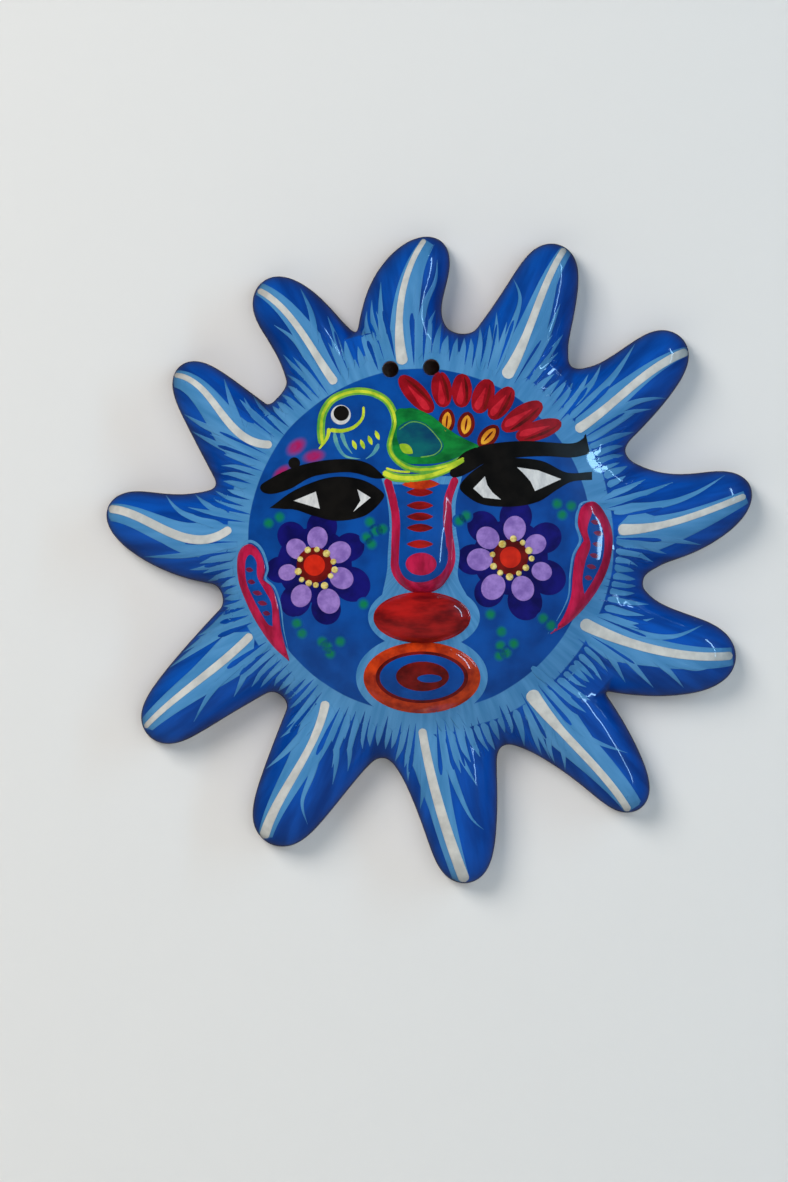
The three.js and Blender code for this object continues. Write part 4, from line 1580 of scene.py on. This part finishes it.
bands = [band(pixels, reach) for pixels, reach in zip(WHITE_STROKES, BAND_REACH)]
whites = [white_stroke(pixels, widths) for pixels, widths in zip(WHITE_STROKES, WHITE_WIDTHS)]
longs = [long_feather(pixels) for pixels in LONG_STROKES]

# %% Short strokes of the valleys
FEATHER_PITCH = 3.3
FEATHER_START = 103.5
FEATHER_HALVES = (1.9, 3)
SHORTEST = 11
LONGEST = 30
GROWTH = 1.3
LEAN = 12
BOW = 0.7
SPREAD = 0.8
PLACE_RANGE = (0.4, 0.2)
LEAN_RANGE = (0.8, 1.2)
LENGTH_RANGE = (0.7, 1.25)
WEDGE_END = (97, 104)
WEDGE_HALVES = (0.8, 1.6)
WEDGE_LENGTH = 15
WEDGE_ASIDE = 0.35
WEDGE_LEAN = 0.6
LEAST_POINTS = 6
dice = random.Random(12)


def barb(bearing, radius, length, lean):
    """A slightly bowed line that starts at a bearing and radius and leans aside as it runs out."""
    start = polar(radius, bearing)
    middle = start + polar(length / 2, bearing + lean * BOW)
    return smooth_line(np.array([start, middle, start + polar(length, bearing + lean)]), STROKE_STEP)


def side_barbs(middle, valley):
    """Pale feathers up one side of a ray, longer up the ray, and the blue wedges left between them."""
    turn = (valley - middle + 180) % 360 - 180
    toward_valley = math.copysign(1, turn)
    count = max(2, round(abs(turn) / FEATHER_PITCH))
    least, more = PLACE_RANGE
    feathers = []
    wedges = []
    for number in range(count):
        share = (number + least + more * dice.random()) / count
        bearing = middle + turn * (1 - SPREAD * share)
        lean = toward_valley * LEAN * math.sin(math.pi * share) * dice.uniform(*LEAN_RANGE)
        length = (SHORTEST + (LONGEST - SHORTEST) * share**GROWTH) * dice.uniform(*LENGTH_RANGE)
        feathers.append(on_the_sun(free_run(barb(bearing, FEATHER_START, length, lean))))
        beside = bearing - turn * WEDGE_ASIDE / count
        wedge_start = dice.uniform(*WEDGE_END)
        wedge = barb(beside, wedge_start, WEDGE_LENGTH * (1 + share), lean * WEDGE_LEAN)
        wedges.append(on_the_sun(free_run(wedge))[::-1])
    return feathers, wedges


short_strokes = []
wedge_strokes = []
for number, ray in enumerate(RAYS):
    right, up = spots(WHITE_STROKES[number])[-1]
    middle = math.degrees(math.atan2(right, up))
    for valley in (RAYS[number - 1]["valley"], ray["valley"]):
        feathers, wedges = side_barbs(middle, valley)
        feathers = [line for line in feathers if len(line) > LEAST_POINTS]
        wedges = [line for line in wedges if len(line) > LEAST_POINTS]
        short_strokes += [pointed(line, dice.uniform(*FEATHER_HALVES)) for line in feathers]
        wedge_strokes += [pointed(line, dice.uniform(*WEDGE_HALVES)) for line in wedges]
strokes("ray_bands", bands, "pale_blue", 0.08, 28)
strokes("pale_feathers", longs + short_strokes, "pale_blue", 0.1)
strokes("blue_wedges", wedge_strokes, "cobalt", 0.13, 8)
strokes("white_ridge_strokes", whites, "warm_white", 0.3, 16)

# %% Outline of the nose and of the ears
NOSE_LINE = [(387, 480), (393, 503), (396, 523), (395, 553), (395, 569), (401, 580), (411, 586), (421, 588)]
NOSE_LINE += [(434, 585), (444, 576), (450, 563), (450, 549), (447, 528), (447, 503), (455, 479)]
LEFT_EAR_LINE = [(238, 556), (244, 545), (253, 542), (263, 550), (269, 568), (267, 579), (276, 588)]
LEFT_EAR_LINE += [(282, 606), (285, 630), (291, 656)]
RIGHT_EAR_LINE = [(588, 502), (578, 506), (574, 524), (578, 541), (571, 556), (568, 575), (566, 597)]
RIGHT_EAR_LINE += [(556, 618), (546, 633)]
ear_marks = (LEFT_EAR_LINE, RIGHT_EAR_LINE)
nose_line = blunt(smooth_line(spots(NOSE_LINE), FINE_STEP), 2.3, None, FINE_STEP)
ear_lines = [pointed(smooth_line(spots(line), FINE_STEP), 0.9) for line in ear_marks]
strokes("nose_outline", [nose_line], "magenta", 0.12, 12)
strokes("ear_lines", ear_lines, "pale_blue", 0.1, 8)

# %% The bird's lines
HEAD_LINE = [(324, 447), (322, 432), (324, 416), (332, 403), (345, 396), (359, 393.5), (374, 396), (386, 403)]
HEAD_LINE += [(393, 414), (395, 426), (392, 438), (390, 449), (394, 459), (403, 467), (414, 471), (431, 471)]
HEAD_LINE += [(448, 467), (463, 460)]
CHEEK_LINE = [(364, 409), (363, 420), (355, 429), (343, 433), (331, 432)]
BEAK_LINE = [(330, 430), (328, 440), (320, 451)]
LOW_LINE = [(383, 474), (395, 479), (412, 480), (431, 477), (449, 470), (463, 462)]
SHORT_LINE = [(386, 470), (397, 473), (410, 474)]
WING_LINE = [(396, 416), (411, 412), (429, 419), (443, 430), (458, 440), (477, 449)]
WING_RIM = [(399, 432), (411, 424.5), (424, 427), (435, 437.5), (441, 448), (434, 456.5), (420, 459)]
THROAT_LINES = [[(335, 434), (338, 447), (346, 458), (361, 461)], [(342, 434), (346, 446), (353, 456)]]
THROAT_LINES += [[(379, 446), (374, 455), (366, 461)]]


def bird_line(marks, half_width, end_half=None):
    return blunt(smooth_line(spots(marks), FINE_STEP), half_width, end_half, FINE_STEP)


broad_lines = [bird_line(HEAD_LINE, 2.4, 1.8), bird_line(LOW_LINE, 2.6, 1.8)]
bright_lines = [bird_line(HEAD_LINE, 0.9, 0.7), bird_line(LOW_LINE, 1.4, 1)]
bright_lines += [bird_line(BEAK_LINE, 1.2, 0.5), bird_line(CHEEK_LINE, 0.7, 1.2), bird_line(SHORT_LINE, 0.6)]
throat_lines = [pointed(smooth_line(spots(line), FINE_STEP), 2) for line in THROAT_LINES]
strokes("bird_outline_under", broad_lines, "lime", 0.14, 12)
strokes("bird_outline", bright_lines, "yellow_green", 0.22, 12)
strokes("bird_throat", throat_lines, "pale_lime", 0.12, 12)
strokes("bird_wing_edge", [bird_line(WING_LINE, 0.9)], "leaf_green", 0.22)
strokes("bird_wing_rim", [bird_line(WING_RIM, 0.6)], "lime", 0.18, 8)

# %% [markdown]
# ## Beads
#
# The beads round each flower's heart are dropped with the end of the brush handle. One small ball is
# instanced on a point for each, flattened and turned to the front's own direction.

# %% Drops of paint
def make_drop_tree():
    inputs = [("Canvas", "NodeSocketObject"), ("Flatness", "NodeSocketFloat")]
    tree, given, output = new_tree("paint_drops", [*inputs, ("Paint", "NodeSocketMaterial")])
    size = add(tree, "GeometryNodeInputNamedAttribute", {"data_type": "FLOAT"}, {"Name": "half_width"})
    radius = Wire(tree, size.outputs[0])
    place = out(tree, "GeometryNodeInputPosition")
    split = add(tree, "ShaderNodeSeparateXYZ", None, {0: place}).outputs
    hit, normal = cast_on(tree, given["Canvas"], Wire(tree, split[0]), Wire(tree, split[1]))
    sockets = {"Geometry": given["Geometry"], "Position": hit}
    laid = out(tree, "GeometryNodeSetPosition", sockets)
    aimed = out(tree, "FunctionNodeAlignRotationToVector", {"Vector": normal}, {"axis": "Z"})
    ball = out(tree, "GeometryNodeMeshIcoSphere", {"Radius": 1.0, "Subdivisions": 3})
    height = radius * Wire(tree, given["Flatness"])
    flat = out(tree, "ShaderNodeCombineXYZ", {0: radius, 1: radius, 2: height})
    sockets = {"Points": laid, "Instance": ball, "Rotation": aimed, "Scale": flat}
    drops = out(tree, "GeometryNodeInstanceOnPoints", sockets)
    painted_result(tree, drops, given["Paint"], output)
    return tree


drop_tree = make_drop_tree()


def drops(name, marks, glaze, flatness):
    """One piece of drops: marks are pixels with a radius in millimetres."""
    host = bpy.data.meshes.new(name + "_points")
    places = [spot(px, py) for px, py, radius in marks]
    host.from_pydata([((x + DISH_X) * MM, (z + DISH_Z) * MM, 0) for x, z in places], [], [])
    sizes = [radius * MM for px, py, radius in marks]
    host.attributes.new("half_width", "FLOAT", "POINT").data.foreach_set("value", sizes)
    values = {"Canvas": canvas, "Flatness": flatness, "Paint": GLAZES[glaze]}
    piece = grown(name, host, drop_tree, values)
    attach(piece, "root")


LEFT_BEADS = [(309, 550.5), (318, 550), (327.6, 554), (334.3, 562), (335.6, 570), (331.6, 576)]
LEFT_BEADS += [(325.6, 585.6), (317, 585), (310, 583), (303, 579.6), (299.5, 571.6), (301.5, 559.5)]
RIGHT_BEADS = [(511.6, 539.4), (520.8, 543.3), (526.9, 551), (529.6, 559), (523.9, 568), (517, 573.5)]
RIGHT_BEADS += [(507.8, 577), (498.6, 573), (492, 566.6), (491, 555), (500.7, 544.8)]
BEAD_RADII = (1.9, 1.6, 2.1, 1.7)
beads = LEFT_BEADS + RIGHT_BEADS
marks = [(x, y, BEAD_RADII[number % len(BEAD_RADII)]) for number, (x, y) in enumerate(beads)]
drops("flower_beads", marks, "bead_yellow", 0.6)

# %% [markdown]
# ## A plain studio
#
# The plaque hangs on a pale wall over a pale floor. The wall is seen only from the front, so that
# the back of the plaque can be looked at too, and a lamp behind it lights the bare clay. A large soft
# lamp stands at the upper left. A tall narrow one at the right draws the long streaks that clear
# lacquer shows. The lacquer mirrors only that one, so the paint keeps its depth.

# %% Wall, floor and lamps
WALL_SIZE = 2.6
WALL_GAP = 0.0006
FLOOR_DROP = 0.62
PALE = (0.8, 0.79, 0.77, 1)
WORLD_STRENGTH = 0.04

# Each lamp's place, width and height in metres, its watts and colour, and whether the lacquer mirrors it
LAMPS = {
    "soft_lamp": ((-1.3, -1.7, 1.1), 1.2, 1.2, 43, (1, 0.98, 0.95), False),
    "fill_lamp": ((0.9, -2.2, 0.1), 1.6, 1.6, 12, (0.95, 0.98, 1), False),
    "streak_lamp": ((1.5, -0.8, 0.5), 0.1, 1.6, 9, (0.4, 0.72, 1), True),
    "back_lamp": ((0.2, 2.2, 0.3), 1.2, 1.2, 16, (1, 1, 1), False),
}


def plain_sheet(name, corners, colour, one_sided):
    sheet = new_piece(name, corners, [(0, 1, 2, 3)], smooth=False)
    material = bpy.data.materials.new(name)
    material.use_nodes = True
    tree = material.node_tree
    tree.nodes.clear()
    paint = add(tree, "ShaderNodeBsdfDiffuse", None, {"Color": colour})
    output = add(tree, "ShaderNodeOutputMaterial")
    if one_sided:
        path = add(tree, "ShaderNodeLightPath").outputs
        front = 1 - Wire(tree, add(tree, "ShaderNodeNewGeometry").outputs["Backfacing"])
        looked_at = Wire(tree, path["Is Camera Ray"])
        depth = Wire(tree, path["Ray Depth"])
        later = depth.combined("GREATER_THAN", depth, 1.5)
        solid = front * later.combined("MAXIMUM", looked_at, later)
        clear = out(tree, "ShaderNodeBsdfTransparent")
        both = add(tree, "ShaderNodeMixShader", None, {0: solid, 1: clear, 2: paint.outputs[0]})
        tree.links.new(both.outputs[0], output.inputs["Surface"])
    else:
        tree.links.new(paint.outputs[0], output.inputs["Surface"])
    sheet.data.materials.append(material)
    return sheet


half = WALL_SIZE / 2
low_edge = -FLOOR_DROP
wall_corners = [(-half, WALL_GAP, low_edge), (half, WALL_GAP, low_edge), (half, WALL_GAP, half)]
wall_corners.append((-half, WALL_GAP, half))
floor_corners = [(x, y, low_edge) for x, y in ((-half, -half), (half, -half), (half, half), (-half, half))]
backdrop = plain_sheet("backdrop", wall_corners, PALE, True)
backdrop.visible_glossy = False
floor = plain_sheet("floor", floor_corners, PALE, False)
floor.visible_glossy = False


def area_lamp(name, place, width, height, watts, colour, mirrored):
    """A lamp that points at the middle of the plaque."""
    data = bpy.data.lights.new(name, "AREA")
    data.shape = "RECTANGLE"
    data.size = width
    data.size_y = height
    data.energy = watts
    data.color = colour
    lamp = bpy.data.objects.new(name, data)
    lamp.location = place
    lamp.rotation_euler = (sun_middle - Vector(place)).to_track_quat("-Z", "Y").to_euler()
    lamp.visible_glossy = mirrored
    bpy.context.scene.collection.objects.link(lamp)


sun_middle = Vector((DISH_X * MM, 0, DISH_Z * MM))
for name, lamp in LAMPS.items():
    area_lamp(name, *lamp)
world = bpy.data.worlds.new("studio")
bpy.context.scene.world = world
world.use_nodes = True
background = world.node_tree.nodes["Background"]
background.inputs["Color"].default_value = (1, 1, 1, 1)
background.inputs["Strength"].default_value = WORLD_STRENGTH

bpy.data.objects.remove(canvas)
